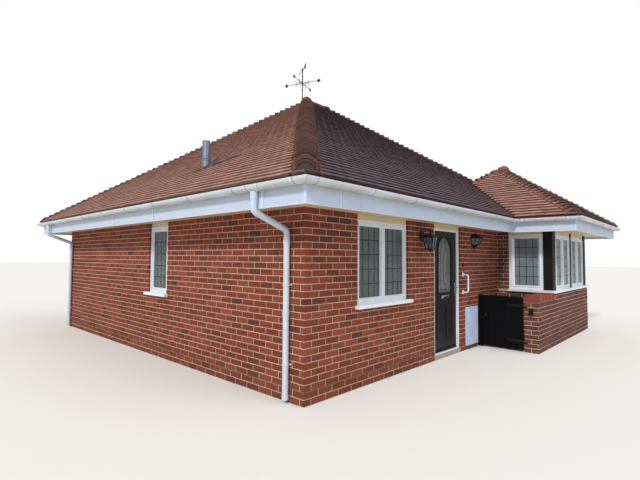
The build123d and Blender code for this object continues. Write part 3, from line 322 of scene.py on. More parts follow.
# The fascia's band under the gutter and the gutter's band on its underside are partly stain and partly
# painted shade; the gutter's band is also a painted reflection of the ground below.
eaves_finish("fascia_plastic", (194, 208, 228), 2.17, 2.26, (196, 182, 140), 0.6)
eaves_finish("gutter_plastic", (206, 215, 226), 2.276, 2.228, (168, 157, 122), 0.75)
wood_finish("door_wood", (17, 13, 16), (29, 23, 26), (0.42, 0.6), 0.05, 0.28)
wood_finish("post_wood", (12, 10, 11), (21, 18, 19), (0.55, 0.75), 0.0, 0.25)
wood_finish("gate_wood", (5, 5, 7), (12, 13, 16), (0.55, 0.75), 0.0, 0.08)
# Painted reflection: the pale blue-grey tints of the window glass stand for sky seen in the panes.
glass_finish("window_glass", (150, 165, 170), 0.015, 0.8)
glass_finish("wing_window_glass", (164, 180, 190), 0.02, 0.5)
glass_finish("door_glass", (150, 166, 160), 0.2, 0.5)
glass_finish("lantern_glass", (128, 138, 156), 0.06, 0.6)
# Painted shade: the blue cast of these whites, and of fascia_plastic and gutter_plastic, is sky-lit shade.
mottled("white_plastic", (227, 233, 242), 0.03, 3, (0.28, 0.4), 90, 0.0002, grime=0.06)
mottled("pipe_plastic", (198, 210, 226), 0.04, 3, (0.28, 0.42), 90, 0.0002, grime=0.14)
mottled("trim_plastic", (206, 218, 236), 0.03, 3, (0.25, 0.38), 90, 0.0002, grime=0.08)
mottled("meter_plastic", (186, 204, 238), 0.04, 5, (0.4, 0.55), 120, 0.0003, grime=0.08)
mottled("black_plastic", (15, 16, 18), 0.15, 20, (0.4, 0.55), 240, 0.0003, specular=0.3)
mottled("cream_board", (206, 188, 150), 0.05, 3, (0.4, 0.55), 60, 0.0003, grime=0.1)
mottled("ceiling_board", (226, 224, 218), 0.03, 2, (0.8, 0.9), 60, 0.0004)
mottled("floor_concrete", (158, 152, 144), 0.1, 3, (0.7, 0.9), 60, 0.001)
# Painted shade: the bedding mortar is a near-black brown, standing for the shade under the bonnets' tails.
mottled("bedding_mortar", (56, 46, 44), 0.2, 20, (0.85, 0.97), 160, 0.002)
mottled("clay_underside", (96, 66, 56), 0.2, 12, (0.8, 0.95), 120, 0.001)
mottled("dull_seal", (120, 122, 122), 0.2, 30, (0.5, 0.7), 200, 0.0003)
mottled("seal", (34, 35, 36), 0.1, 30, (0.6, 0.75), 200, 0.0003)
mottled("lead_came", (30, 33, 38), 0.2, 40, (0.4, 0.6), 200, 0.0003, metallic=0.3)
mottled("lead_sheet", (84, 80, 84), 0.25, 7, (0.5, 0.7), 60, 0.0015, metallic=0.4)
# Painted reflection: the blue cast of the flue steel stands for the sky.
mottled("flue_steel", (146, 158, 180), 0.12, 10, (0.28, 0.5), 70, 0.0004, metallic=0.9,
        stretch=(1.0, 1.0, 4.0))
mottled("black_iron", (22, 22, 24), 0.25, 30, (0.35, 0.55), 220, 0.0004, metallic=0.4)
mottled("satin_chrome", (186, 188, 192), 0.06, 30, (0.16, 0.3), 200, 0.0001, metallic=1.0)

NODE_FINISH = {
    "mortar_and_plaster": ["side_wall", "entrance_wall_left", "entrance_wall_right", "door_head_wall",
                           "rear_wall", "right_wall", "wing_front_wall", "wing_side_walls", "wing_head_beam",
                           "low_wall", "wall_coping"],
    "clay_underside": ["main_roof", "wing_roof"],
    "white_plastic": ["entrance_window", "side_window", "rear_windows", "right_window", "wing_windows",
                      "window_sills", "wing_sill", "door_frame", "grab_rail"],
    "fascia_plastic": ["fascia"],
    "gutter_plastic": ["gutter"],
    "pipe_plastic": ["downpipes"],
    "cream_board": ["soffit", "head_boards"],
    "window_glass": ["window_glass"],
    "wing_window_glass": ["wing_glass"],
    "door_glass": ["door_glass"],
    "lantern_glass": ["lantern_glass"],
    "black_iron": ["carriage_lantern", "half_lantern", "vane_mast", "vane_arrow", "gate_hinges"],
    "black_plastic": ["bell_push", "key_safe"],
    "satin_chrome": ["door_hinges", "door_furniture"],
    "floor_concrete": ["floor_slab"],
    "ceiling_board": ["ceiling"],
    "meter_plastic": ["meter_box", "meter_door"],
    "flue_steel": ["flue_pipe"],
    "lead_sheet": ["flue_flashing"],
    "door_wood": ["front_door"],
    "post_wood": ["wing_posts"],
    "gate_wood": ["bin_gate", "gate_frame"],
}
for finish_name, node_names in NODE_FINISH.items():
    for node_name in node_names:
        node_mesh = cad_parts[node_name].data
        node_mesh.materials.clear()
        node_mesh.materials.append(FINISH[finish_name])

# Mesh building
SHARP_ANGLE = math.radians(38)
TURN = 2 * math.pi


def outline(u, z):
    """The corners of a rectangle, from its ranges along and up."""
    return [(u[0], z[0]), (u[1], z[0]), (u[1], z[1]), (u[0], z[1])]


def moved_in(corners, along, up):
    """A rectangle's corners with its upright and level sides moved in."""
    signs = ((1, 1), (-1, 1), (-1, -1), (1, -1))
    return [(a + along * sa, b + up * sb) for (a, b), (sa, sb) in zip(corners, signs)]


def sweep(end, steps):
    """Values from nothing to an end, in equal steps."""
    return [end * k / steps for k in range(steps + 1)]


def spiral(steps, start, turned, radius, growth):
    """Angles, from degrees, and radii along a scroll."""
    return [(math.radians(start + turned * k / steps), radius + growth * k / steps)
            for k in range(steps + 1)]


def heading(turn):
    """The level direction at an angle from the X axis."""
    return Vector((math.cos(turn), math.sin(turn), 0))


def lifted(point, z):
    """A point with something added to its height."""
    return point + Vector((0, 0, z))


def ring_faces(count, start=0):
    """Faces that join one ring of points to the ring after it."""
    ends = [(start + i, start + (i + 1) % count) for i in range(count)]
    return [(a, b, b + count, a + count) for a, b in ends]


def grid_faces(rows, width, flip=False):
    """Faces over rows of points, all of one width."""
    starts = [row * width + k for row in range(rows - 1) for k in range(width - 1)]
    if flip:
        return [(a, a + 1, a + width + 1, a + width) for a in starts]
    return [(a, a + width, a + width + 1, a + 1) for a in starts]


class Build:
    """Vertices and faces of one piece with their tones and painted under-tail shade, gathered and then made
    into an object.
    """

    def __init__(self):
        self.points = []
        self.faces = []
        self.tones = []
        self.under_tail_shade = []

    def add(self, points, faces, tone=0.5, under_tail_shade=None):
        start = len(self.points)
        self.points.extend(tuple(p) for p in points)
        self.faces.extend(tuple(start + i for i in face) for face in faces)
        self.tones.extend([tone] * len(points))
        self.under_tail_shade.extend(under_tail_shade or [0.0] * len(points))

    def box(self, place, u, z, n, chamfer=0.0, tone=0.5, back=False):
        """A block in a wall's own directions: along it, up it and out of it."""
        corners = outline(u, z)
        points = [place(a, b, out) for out in (n[0], n[1] - chamfer) for a, b in corners]
        faces = ring_faces(4)
        if chamfer:
            points += [place(a, b, n[1]) for a, b in moved_in(corners, chamfer, chamfer)]
            faces += ring_faces(4, 4)
        last = len(points)
        faces.append(tuple(range(last - 4, last)))
        if back:
            faces.append((3, 2, 1, 0))
        self.add(points, faces, tone)

    def bevel(self, place, first, second, closed=False):
        """Four faces between two rectangles, each given by its corners and how far out it lies."""
        points = [place(a, b, n) for corners, n in (first, second) for a, b in corners]
        self.add(points, ring_faces(4) + ([(4, 5, 6, 7)] if closed else []))

    def skin(self, rings, first_closed, last_closed, tone=0.5):
        """A surface over rings of points, its ends closed where asked for."""
        sides = len(rings[0])
        points = [p for ring in rings for p in ring]
        faces = [face for row in range(len(rings) - 1) for face in ring_faces(sides, row * sides)]
        if first_closed:
            faces.append(tuple(range(sides))[::-1])
        if last_closed:
            faces.append(tuple(range(len(points) - sides, len(points))))
        self.add(points, faces, tone)

    def tube(self, path, radius, sides, closed=True):
        """A round bar along a list of points, of one radius or one for each point."""
        path = [Vector(p) for p in path]
        radii = radius if isinstance(radius, (list, tuple)) else [radius] * len(path)
        rings = []
        reference = None
        for index, point in enumerate(path):
            ahead = path[min(index + 1, len(path) - 1)] - path[max(index - 1, 0)]
            ahead.normalize()
            if reference is None:
                reference = Vector((0, 0, 1)) if abs(ahead.z) < 0.9 else Vector((1, 0, 0))
            side = ahead.cross(reference).normalized()
            reference = side.cross(ahead).normalized()
            rings.append([point + (side * math.cos(a) + reference * math.sin(a)) * radii[index]
                          for a in sweep(TURN, sides)[:-1]])
        self.skin(rings, closed, closed)

    def lathe(self, centre, profile, sides, axis="Z", tone=0.5):
        """A turned shape from (radius, height) pairs round an upright or level axis."""
        def turned(x, y, z):
            return Vector(centre) + Vector({"Z": (x, y, z), "Y": (x, z, -y), "X": (z, y, -x)}[axis])

        angles = sweep(TURN, sides)[:-1]
        rings = [[turned(radius * math.cos(a), radius * math.sin(a), height) for a in angles]
                 for radius, height in profile]
        self.skin(rings, profile[0][0] > 0, profile[-1][0] > 0, tone)

    def make(self, name, finish, body="house", slot=None, smooth=False):
        mesh = bpy.data.meshes.new(name)
        mesh.from_pydata(self.points, [], self.faces)
        mesh.update()
        for label, values in (("tone", self.tones), ("under_tail_shade", self.under_tail_shade)):
            attribute = mesh.attributes.new(label, "FLOAT", "POINT")
            attribute.data.foreach_set("value", values)
        mesh.materials.append(FINISH[finish])
        made = bpy.data.objects.new(name, mesh)
        bpy.context.scene.collection.objects.link(made)
        if smooth:
            mesh.shade_smooth()
            mesh.set_sharp_from_angle(angle=SHARP_ANGLE)
        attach(made, body)
        return made


def facing(side, x, y):
    """Where (along, up, out) lands for a wall seen from outside, from its left end."""
    along, out = {
        "entrance": ((1, 0), (0, -1)),
        "left": ((0, -1), (-1, 0)),
        "rear": ((-1, 0), (0, 1)),
        "right": ((0, 1), (1, 0)),
    }[side]
    return lambda u, z, n: (x + along[0] * u + out[0] * n, y + along[1] * u + out[1] * n, z)


def drawn(tones):
    """A tone drawn from a range."""
    return tones[0] + (tones[1] - tones[0]) * rng.random()


# Brickwork
COURSE, STRETCHER, JOINT = 0.075, 0.215, 0.01
BRICK_PITCH = STRETCHER + JOINT
PROUD, BACKSET, REVEAL = 0.0035, 0.002, 0.0295
JAMB_LAP, CORNER_STEP = 0.003, 0.0005
ARRIS = 0.0022
SHORTEST, THINNEST = 0.03, 0.02
corner_tones = {}


def corner_tone(key, course):
    """The tone of a brick that turns a corner, the same on both faces."""
    return corner_tones.setdefault((key, course), rng.random())


def without(spans, start, end):
    """Spans with one interval taken out."""
    left_over = []
    for a, b in spans:
        if end <= a or start >= b:
            left_over.append((a, b))
            continue
        if a < start:
            left_over.append((a, start))
        if end < b:
            left_over.append((end, b))
    return left_over


def brick_layers(length, low, high, holes):
    """The spans of one course with their levels, parted where an opening starts inside the course."""
    layers = [([(0.0, length)], low, high)]
    for u0, u1, z0, z1 in holes:
        if high <= z0 or low >= z1:
            continue
        layers = [(without(spans, u0, u1), a, b) for spans, a, b in layers]
        if low < z0 - THINNEST:
            layers.append(([(u0 + JOINT / 2, u1 - JOINT / 2)], low, z0 - JOINT / 2))
    return [(span, a, b) for spans, a, b in layers for span in spans]


def brick_face(build, place, length, top, holes=(), parity=0, keys=(None, None), bottom=0.0):
    """Stretcher bond over one wall face, cut round its openings."""
    edges = {u for u0, u1, _, _ in holes for u in (u0, u1)}
    corner_lap = PROUD - CORNER_STEP * (parity + 1)
    course = 0
    while course * COURSE + JOINT < top:
        low = course * COURSE + JOINT / 2
        high = min(low + COURSE - JOINT, top - JOINT / 2)
        course += 1
        if high - low < THINNEST or low < bottom - SHORTEST:
            continue
        for (a, b), z0, z1 in brick_layers(length, low, high, holes):
            u = 0.0 if (course + parity) % 2 else -BRICK_PITCH / 2
            while u < length:
                u0, u1 = max(u, a), min(u + STRETCHER, b)
                u += BRICK_PITCH
                if u1 - u0 < SHORTEST:
                    continue
                depth = REVEAL if u0 in edges or u1 in edges else BACKSET
                tone = rng.random()
                if u0 == 0.0:
                    u0 -= corner_lap
                    tone = corner_tone(keys[0], course) if keys[0] else tone
                elif u0 in edges:
                    u0 -= JAMB_LAP
                if u1 == length:
                    u1 += corner_lap
                    tone = corner_tone(keys[1], course) if keys[1] else tone
                elif u1 in edges:
                    u1 += JAMB_LAP
                out = PROUD + rng.uniform(-0.001, 0.0006)
                lift = rng.uniform(-0.0008, 0.0008)
                build.box(place, (u0, u1), (z0 + lift, z1 + lift), (-depth, out), ARRIS, tone)


def brick_piece(name, finish, *faces):
    """One piece of brickwork from its wall faces."""
    build = Build()
    for face in faces:
        brick_face(build, **face)
    build.make(name, finish, slot="brickwork")


side_length = BACK - FRONT
right_length = BACK - DWARF_FRONT
wing_length = RIGHT - PIER_END
low_wall_length = WING_LEFT - PIER_END
pier_length = PIER_BACK - DWARF_FRONT
right_offset = FRONT - DWARF_FRONT
side_face, entrance_face = facing("left", LEFT, BACK), facing("entrance", LEFT, FRONT)
rear_face, right_face = facing("rear", RIGHT, BACK), facing("right", RIGHT, DWARF_FRONT)
low_face, pier_face = facing("entrance", PIER_END, DWARF_FRONT), facing("left", PIER_END, PIER_BACK)
low_back_face, wing_face = facing("rear", WING_LEFT, PIER_BACK), facing("left", WING_LEFT, FRONT)

brick_piece("bricks_side_wall", "brick", dict(
    place=side_face, length=side_length, top=SOFFIT, keys=("far_left", "near"),
    holes=[(side_length - SIDE_WINDOW[1], side_length - SIDE_WINDOW[0], SILL_BOTTOM, SOFFIT)]))
brick_piece("bricks_entrance_wall", "brick", dict(
    place=entrance_face, length=WING_LEFT - LEFT, top=SOFFIT, parity=1, keys=("near", None),
    holes=[(*ENTRANCE_WINDOW, SILL_BOTTOM, SOFFIT), (*DOORWAY, -1, SOFFIT)]))
brick_piece("bricks_rear_wall", "brick", dict(
    place=rear_face, length=RIGHT - LEFT, top=SOFFIT, parity=1, keys=("far_right", "far_left"),
    holes=[(*opening, SILL_BOTTOM, SOFFIT) for opening in REAR_WINDOWS]))
brick_piece("bricks_right_wall", "brick", dict(
    place=right_face, length=right_length, top=SOFFIT, keys=("wing_right", "far_right"),
    holes=[(-1, RETURN_FRONT - DWARF_FRONT, SILL_BOTTOM, SOFFIT),
           (right_offset + SIDE_WINDOW[0], right_offset + SIDE_WINDOW[1], SILL_BOTTOM, SOFFIT)]))
brick_piece(
    "bricks_wing", "brick_shaded_low",
    dict(place=low_face, length=wing_length, top=SILL_BOTTOM, keys=("pier", "wing_right"),
         holes=[(-1, low_wall_length, CREASING, SOFFIT)]),
    dict(place=pier_face, length=pier_length, top=CREASING, parity=1, keys=("pier_back", "pier")),
    dict(place=low_back_face, length=low_wall_length, top=CREASING, keys=(None, "pier_back")),
    dict(place=wing_face, length=FRONT - PIER_BACK, top=SILL_BOTTOM, parity=1),
    dict(place=wing_face, length=FRONT - RETURN_FRONT, top=SOFFIT, parity=1, bottom=SILL_TOP),
)


def coping_bricks():
    """Bricks on edge across the low wall, side by side along it."""
    build = Build()
    overhang, bed, proud = 0.004, 0.018, 0.003
    across, bottom = (-pier_length - overhang, overhang), CREASING + bed
    start = 0.0
    while start < low_wall_length - SHORTEST:
        end = min(start + COURSE - JOINT, low_wall_length)
        edge = overhang if start == 0.0 else 0.0
        top = SILL_BOTTOM + proud + rng.uniform(0, 0.0012)
        build.box(lambda u, z, n: low_face(u, n, z), (start - edge, end), across, (bottom, top), 0.002,
                  rng.random())
        start += COURSE
    build.make("coping_bricks", "coping_brick", slot="brickwork")


def creasing_tiles():
    """Thin tiles under the coping, one course round the low wall and its pier."""
    build = Build()
    overhang, tile, pitch = 0.011, 0.163, 0.167
    levels = (CREASING + 0.0005, CREASING + 0.0145)
    runs = ((low_face, low_wall_length), (pier_face, pier_length), (low_back_face, low_wall_length))
    for face, length in runs:
        start = -overhang
        while start < length:
            end = min(start + tile, length + overhang)
            build.box(face, (start, end), levels, (0, 0.0125), 0.001, rng.random())
            start += pitch
    build.make("creasing_tiles", "coping_brick", slot="brickwork")


coping_bricks()
creasing_tiles()

# Roof tiles
SLOPE_COURSES = 50
GAUGE = MAIN_HALF / math.cos(PITCH) / SLOPE_COURSES
STEP = GAUGE * math.cos(PITCH)
TILE_WIDTH, TILE_GAP, TILE_THICKNESS = 0.165, 0.002, 0.015
TILE_PITCH = TILE_WIDTH + TILE_GAP
TAIL_HEIGHT, OVERHANG, HEAD_LAP, CAMBER = 0.028, 0.012, 0.016, 0.0016
NARROWEST_TILE, NARROWEST_SPAN = 0.012, 0.02
TILE_FACES = [(0, 3, 4, 1), (3, 6, 7, 4), (1, 4, 5, 2), (4, 7, 8, 5), (0, 1, 2), (6, 8, 7)]
# Painted shade for each point of a tile: none at the tail, full at the head, read as under_tail_shade.
HEAD_SHADE = [0.0, 0.0, 1.0]


def slope_place(eave, inward):
    """Where (along the eave, plan inset, height off the slope) lands on one roof slope."""
    along = (abs(inward[1]), abs(inward[0]))

    def place(e, inset, height):
        level = inset - height * math.sin(PITCH)
        return (
            eave[0] + along[0] * e + inward[0] * level,
            eave[1] + along[1] * e + inward[1] * level,
            EAVES_TOP + SLOPE * inset + height * math.cos(PITCH),
        )
    return place


def span_at(spans, inset, near):
    """The span of a slope at an inset that belongs to the span found lower down."""
    found = [s for s in spans(inset) if s[1] >= near[0] and s[0] <= near[1] and s[1] > s[0]]
    if found:
        return found[0]
    middle = (near[0] + near[1]) / 2
    return (middle, middle)


def lay_tile(build, place, tail_ends, head_ends, tail, head, drop):
    """One cambered tile, from its ends along its tail to its ends along its head."""
    rise = TAIL_HEIGHT + (rng.uniform(-0.0012, 0.0018) + drop)
    slip = rng.uniform(-0.002, 0.002)
    fall = rise - TILE_THICKNESS * (head - tail) / STEP
    (tail_left, tail_right), (head_left, head_right) = tail_ends, head_ends
    middle = ((tail_left + tail_right) / 2, (head_left + head_right) / 2, CAMBER)
    points = []
    for e_tail, e_head, camber in ((tail_left, head_left, 0.0), middle, (tail_right, head_right, 0.0)):
        points += [place(e_tail, tail + slip, rise - TILE_THICKNESS + camber),
                   place(e_tail, tail + slip, rise + camber), place(e_head, head, fall + camber)]
    build.add(points, TILE_FACES, rng.random(), HEAD_SHADE * 3)


def tile_slope(name, place, spans, finish, first=0.0, last=MAIN_HALF):
    """Courses of plain tiles over one slope between two insets, the lowest course doubled."""
    build = Build()
    for course in range(SLOPE_COURSES + 2):
        tail = (max(course - 1, 0) * GAUGE - OVERHANG) * math.cos(PITCH)
        if tail < first - STEP or tail >= last - 0.01:
            continue
        head = tail + STEP + HEAD_LAP
        for span in spans(max(tail, 0.0)):
            if span[1] - span[0] < NARROWEST_SPAN:
                continue
            top = span_at(spans, min(head, last), span)
            index = math.floor(span[0] / TILE_PITCH) - 1
            while index * TILE_PITCH < span[1]:
                start = (index + (0.5 if course % 2 else 0.0)) * TILE_PITCH
                index += 1
                a, b = max(start, span[0]), min(start + TILE_WIDTH, span[1])
                if b - a < NARROWEST_TILE:
                    continue
                c, d = min(max(a, top[0]), top[1]), max(min(b, top[1]), top[0])
                if d < c:
                    c = d = (c + d) / 2
                lay_tile(build, place, (a, b), (c, d), tail, head, 0.0 if course else -TILE_THICKNESS)
    build.make(name, finish, slot="roof_tile")


def tapering(low, high):
    """The spans of a slope whose two ends both move in with the inset."""
    return lambda inset: [(low + inset, high - inset)]


main_side, main_end = tapering(ROOF_FRONT, ROOF_BACK), tapering(ROOF_LEFT, ROOF_RIGHT)
wing_side, wing_end = tapering(WING_ROOF_FRONT, WING_BACK), tapering(WING_ROOF_LEFT, ROOF_RIGHT)


def main_front(inset):
    return [(ROOF_LEFT + inset, WING_ROOF_LEFT + inset)] if inset < MEETING_INSET else main_end(inset)


def main_right(inset):
    if inset < MEETING_INSET:
        return [(WING_ROOF_FRONT + inset, ROOF_BACK - inset)]
    return main_side(inset) + (wing_side(inset) if inset < WING_HALF else [])


def wing_left(inset):
    return [(WING_ROOF_FRONT + inset, ROOF_FRONT + inset)] if inset < MEETING_INSET else wing_side(inset)


left_slope = slope_place((ROOF_LEFT, 0), (1, 0))
wing_front_slope = slope_place((0, WING_ROOF_FRONT), (0, 1))
tile_slope("tiles_left", left_slope, main_side, "tiles_warm")
tile_slope("tiles_front", slope_place((0, ROOF_FRONT), (0, 1)), main_front, "tiles_painted_shade")
tile_slope("tiles_back", slope_place((0, ROOF_BACK), (0, -1)), main_end, "tiles_warm")
tile_slope("tiles_right", slope_place((ROOF_RIGHT, 0), (-1, 0)), main_right, "tiles_warm")
tile_slope("tiles_wing_left", slope_place((WING_ROOF_LEFT, 0), (1, 0)), wing_left, "tiles_red",
           last=WING_HALF)
tile_slope("tiles_wing_front", wing_front_slope, wing_end, "tiles_painted_shade", last=WING_HALF)
tile_slope("tiles_wing_back", slope_place((0, WING_BACK), (0, -1)), wing_end, "tiles_warm",
           first=MEETING_INSET, last=WING_HALF)

# Bonnet tiles, one to each course, up every hip
ROOT2 = math.sqrt(2)
FALL = SLOPE / ROOT2
HIP_START = 0.1
BONNET_HALF, BONNET_ROUND, BONNET_CROWN, BONNET_SIDE = 0.16, 0.05, 0.069, 0.034
BONNET_DROP, BONNET_EDGE, BONNET_LAP = 0.062, 0.024, 1.3
HIP_END, SHORTEST_BONNET, PLUG_BACK, PLUG_LAP = 0.02, 0.04, 0.014, 0.004
BONNET_SHARES = [-1.0, -0.86, -0.64, -0.4, -0.16, 0.16, 0.4, 0.64, 0.86, 1.0]
BONNET_FLANK = (BONNET_CROWN + FALL * BONNET_HALF - BONNET_SIDE) / (
    math.hypot(BONNET_HALF, BONNET_ROUND) - BONNET_ROUND)
# The mortar plug at a hip's foot: distance up the hip, crown height and half width
HIP_FOOT = ((0.0, 0.0, 0.03), (0.012, 0.03, 0.05), (0.04, 0.044, 0.08), (0.08, 0.05, 0.105),
            (0.14, 0.046, 0.11))
# SHADED_TONES draws only on the painted shade stops of a bonnet palette.
ANY_TONE, SHADED_TONES = (0.35, 1.0), (0.0, 0.3)


def bonnet_profile(w):
    """How far a bonnet falls from its crown at a distance from its middle."""
    return BONNET_FLANK * (math.hypot(w, BONNET_ROUND) - BONNET_ROUND)


def hip_foot(bedding, corner, forward, across):
    """The rounded end of the mortar under the lowest bonnet."""
    rows = []
    for t, crown, half in HIP_FOOT:
        for share in BONNET_SHARES:
            plan = corner + forward * t + across * share * half
            rows.append((plan.x, plan.y, EAVES_TOP + FALL * t + crown + rng.uniform(-0.003, 0.003)
                         - (crown - 0.01 + FALL * half) * share ** 2))
    bedding.add(rows, grid_faces(len(HIP_FOOT), len(BONNET_SHARES), flip=True))


def bonnet_run(build, bedding, corner, direction, first, last, tones):
    """Bonnets up a hip from its eaves corner, between two plan insets."""
    forward = Vector(direction) / ROOT2
    across = Vector((forward.y, -forward.x))
    corner = Vector(corner)
    if not first:
        hip_foot(bedding, corner, forward, across)
    reach = ROOT2 * last - HIP_END
    for course in range(SLOPE_COURSES):
        tail = ROOT2 * (course * STEP) + HIP_START
        if course * STEP < first - HIP_END or tail > reach - SHORTEST_BONNET:
            continue
        head = min(tail + ROOT2 * STEP * BONNET_LAP, reach)
        swing = rng.uniform(-0.006, 0.006)
        crown = BONNET_CROWN + rng.uniform(-0.003, 0.004)
        tone = drawn(tones)
        rows = []
        for share in BONNET_SHARES:
            w = share * BONNET_HALF
            for t, top in ((tail, crown - BONNET_EDGE), (tail, crown), (head, crown - BONNET_DROP)):
                plan = corner + forward * (t + share * swing) + across * w
                rows.append((plan.x, plan.y, EAVES_TOP + FALL * t + top - bonnet_profile(w)))
        count = len(BONNET_SHARES)
        sides = [(0, 1, 2), (3 * count - 3, 3 * count - 1, 3 * count - 2)]
        build.add(rows, grid_faces(count, 3) + sides, tone, HEAD_SHADE * count)
        rows = []
        for share in BONNET_SHARES[1:-1]:
            w = share * BONNET_HALF
            plan = corner + forward * (tail + PLUG_BACK) + across * w
            crest = EAVES_TOP + FALL * tail + crown - BONNET_EDGE - bonnet_profile(w) + PLUG_LAP
            foot = min(crest, EAVES_TOP + FALL * tail - FALL * abs(w) - PLUG_LAP)
            rows += [(plan.x, plan.y, foot), (plan.x, plan.y, crest)]
        bedding.add(rows, grid_faces(count - 2, 2), tone)


def ridge_run(build, start, end, cross, level, along_x, tones):
    """Half-round ridge tiles end to end over a short ridge, with a rounded cap at each end."""
    tile, joint, half_round, flank, crown, edge = 0.3, 0.006, 0.05, 1.25, 0.05, 0.034
    cap = [(0.136, -0.1), (0.138, -0.05), (0.126, 0.01), (0.1, 0.058), (0.064, 0.088), (0.03, 0.102),
           (0.0, 0.106)]
    length = end - start
    count = max(1, round(length / tile))
    for index in range(count):
        low = start + length * index / count
        high = start + length * (index + 1) / count - joint
        rows = []
        for share in BONNET_SHARES:
            w = share * BONNET_HALF
            drop = flank * (math.hypot(w, half_round) - half_round)
            for position, height in ((low, edge), (low, crown), (high, crown), (high, edge)):
                here = (position, cross + w) if along_x else (cross + w, position)
                rows.append((*here, level + height - drop))
        build.add(rows, grid_faces(len(BONNET_SHARES), 4), drawn(tones))
    for position, rise, cap_tones in ((start, 1.0, ANY_TONE), (end, 0.35, tones)):
        middle = (position, cross, level) if along_x else (cross, position, level)
        profile = [(radius, height * rise if height > 0 else height) for radius, height in cap]
        build.lathe(middle, profile, 20, tone=drawn(cap_tones))


def hips(name, finish, node, runs, ridge):
    """The bonnets and the ridge of one roof, on their mortar."""
    build, bedding = Build(), Build()
    for run in runs:
        bonnet_run(build, bedding, *run)
    ridge_run(build, *ridge)
    made = build.make(name, finish, slot="roof_tile", smooth=True)
    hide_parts(node)
    bedding.make(name + "_bedding", "bedding_mortar", slot="brickwork")


# Tone ranges that start below 0.35 draw partly on painted shade.
hips("bonnets_main", "bonnet_tiles", "main_hip_tiles", (
    ((ROOF_LEFT, ROOF_FRONT), (1, 1), 0, MAIN_HALF, ANY_TONE),
    ((ROOF_LEFT, ROOF_BACK), (1, -1), 0, MAIN_HALF, (0.1, 0.45)),
    ((ROOF_RIGHT, ROOF_BACK), (-1, -1), 0, MAIN_HALF, ANY_TONE),
    ((ROOF_RIGHT, ROOF_FRONT), (-1, 1), MEETING_INSET, MAIN_HALF, SHADED_TONES),
), (ROOF_LEFT + MAIN_HALF, ROOF_RIGHT - MAIN_HALF, (ROOF_FRONT + ROOF_BACK) / 2,
    EAVES_TOP + SLOPE * MAIN_HALF, True, SHADED_TONES))
hips("bonnets_wing", "wing_bonnet_tiles", "wing_hip_tiles", (
    ((WING_ROOF_LEFT, WING_ROOF_FRONT), (1, 1), 0, WING_HALF, ANY_TONE),
    ((ROOF_RIGHT, WING_ROOF_FRONT), (-1, 1), 0, WING_HALF, (0.0, 0.5)),
    ((WING_ROOF_LEFT, WING_BACK), (1, -1), MEETING_INSET, WING_HALF, (0.0, 0.5)),
    ((ROOF_RIGHT, WING_BACK), (-1, -1), MEETING_INSET, WING_HALF, ANY_TONE),
), (WING_ROOF_FRONT + WING_HALF, WING_BACK - WING_HALF, (WING_ROOF_LEFT + ROOF_RIGHT) / 2,
    EAVES_TOP + SLOPE * WING_HALF, False, ANY_TONE))

# Leaded lights, with their beads and seals, and window handles
FRAME_FACE = 0.062
GLASS_LOW, GLASS_HIGH = SILL_TOP + FRAME_FACE, HEAD_BOTTOM - FRAME_FACE
GLASS_BEHIND, GLASS_THICK = 0.025, 0.02
LEAD, LEAD_COLUMNS, LEAD_ROWS = 0.0105, 4, 5
BEAD, SEAL, WIDE_BEAD = 0.014, 0.004, 0.034
WALL_SETBACK, WING_SETBACK = 0.03, 0.015
PAIR, SINGLE, RETURN_LIGHT = 1.16, 0.62, 0.614
POST, WING_GAP, BAY_RIGHT = 0.16, 0.04, 0.18
WING_BAY = (RIGHT - BAY_RIGHT - WING_GAP - (WING_LEFT + WALL) - WING_GAP) / 2
WINDOWS = [
    ("entrance", LEFT + ENTRANCE_WINDOW[0], FRONT, PAIR, 2, WALL_SETBACK),
    ("left", LEFT, FRONT + SIDE_WINDOW[1], SINGLE, 1, WALL_SETBACK),
    ("right", RIGHT, FRONT + SIDE_WINDOW[0], SINGLE, 1, WALL_SETBACK),
    ("rear", LEFT + REAR_WINDOWS[0][1], BACK, PAIR, 2, WALL_SETBACK),
    ("rear", RIGHT - REAR_WINDOWS[0][0], BACK, PAIR, 2, WALL_SETBACK),
    ("entrance", WING_LEFT + WALL, WING_FRONT, WING_BAY, 2, WING_SETBACK),
    ("entrance", RIGHT - BAY_RIGHT - WING_BAY, WING_FRONT, WING_BAY, 2, WING_SETBACK),
    ("left", WING_LEFT, RETURN_FRONT, RETURN_LIGHT, 1, WING_SETBACK),
    ("right", RIGHT, WING_FRONT + POST, RETURN_LIGHT, 1, WING_SETBACK),
]


def window_lights(width, lights):
    """Where each light of a window starts and ends."""
    light = (width - FRAME_FACE * (lights + 1)) / lights
    starts = [FRAME_FACE + index * (light + FRAME_FACE) for index in range(lights)]
    return [(start, start + light) for start in starts]


def lead_light(build, place, start, end, outside):
    """Lead strips on both faces of one light's glass."""
    inside = outside - GLASS_THICK
    uprights = [start + (end - start) * column / LEAD_COLUMNS for column in range(1, LEAD_COLUMNS)]
    levels = [GLASS_LOW + (GLASS_HIGH - GLASS_LOW) * row / LEAD_ROWS for row in range(1, LEAD_ROWS)]
    strips = [((u - LEAD / 2, u + LEAD / 2), (GLASS_LOW, GLASS_HIGH), 0.002) for u in uprights]
    strips += [((start, end), (z - LEAD / 2, z + LEAD / 2), 0.0024) for z in levels]
    for u, z, thick in strips:
        for n in ((outside, outside + thick), (inside - thick, inside)):
            build.box(place, u, z, n, 0.0005, back=True)


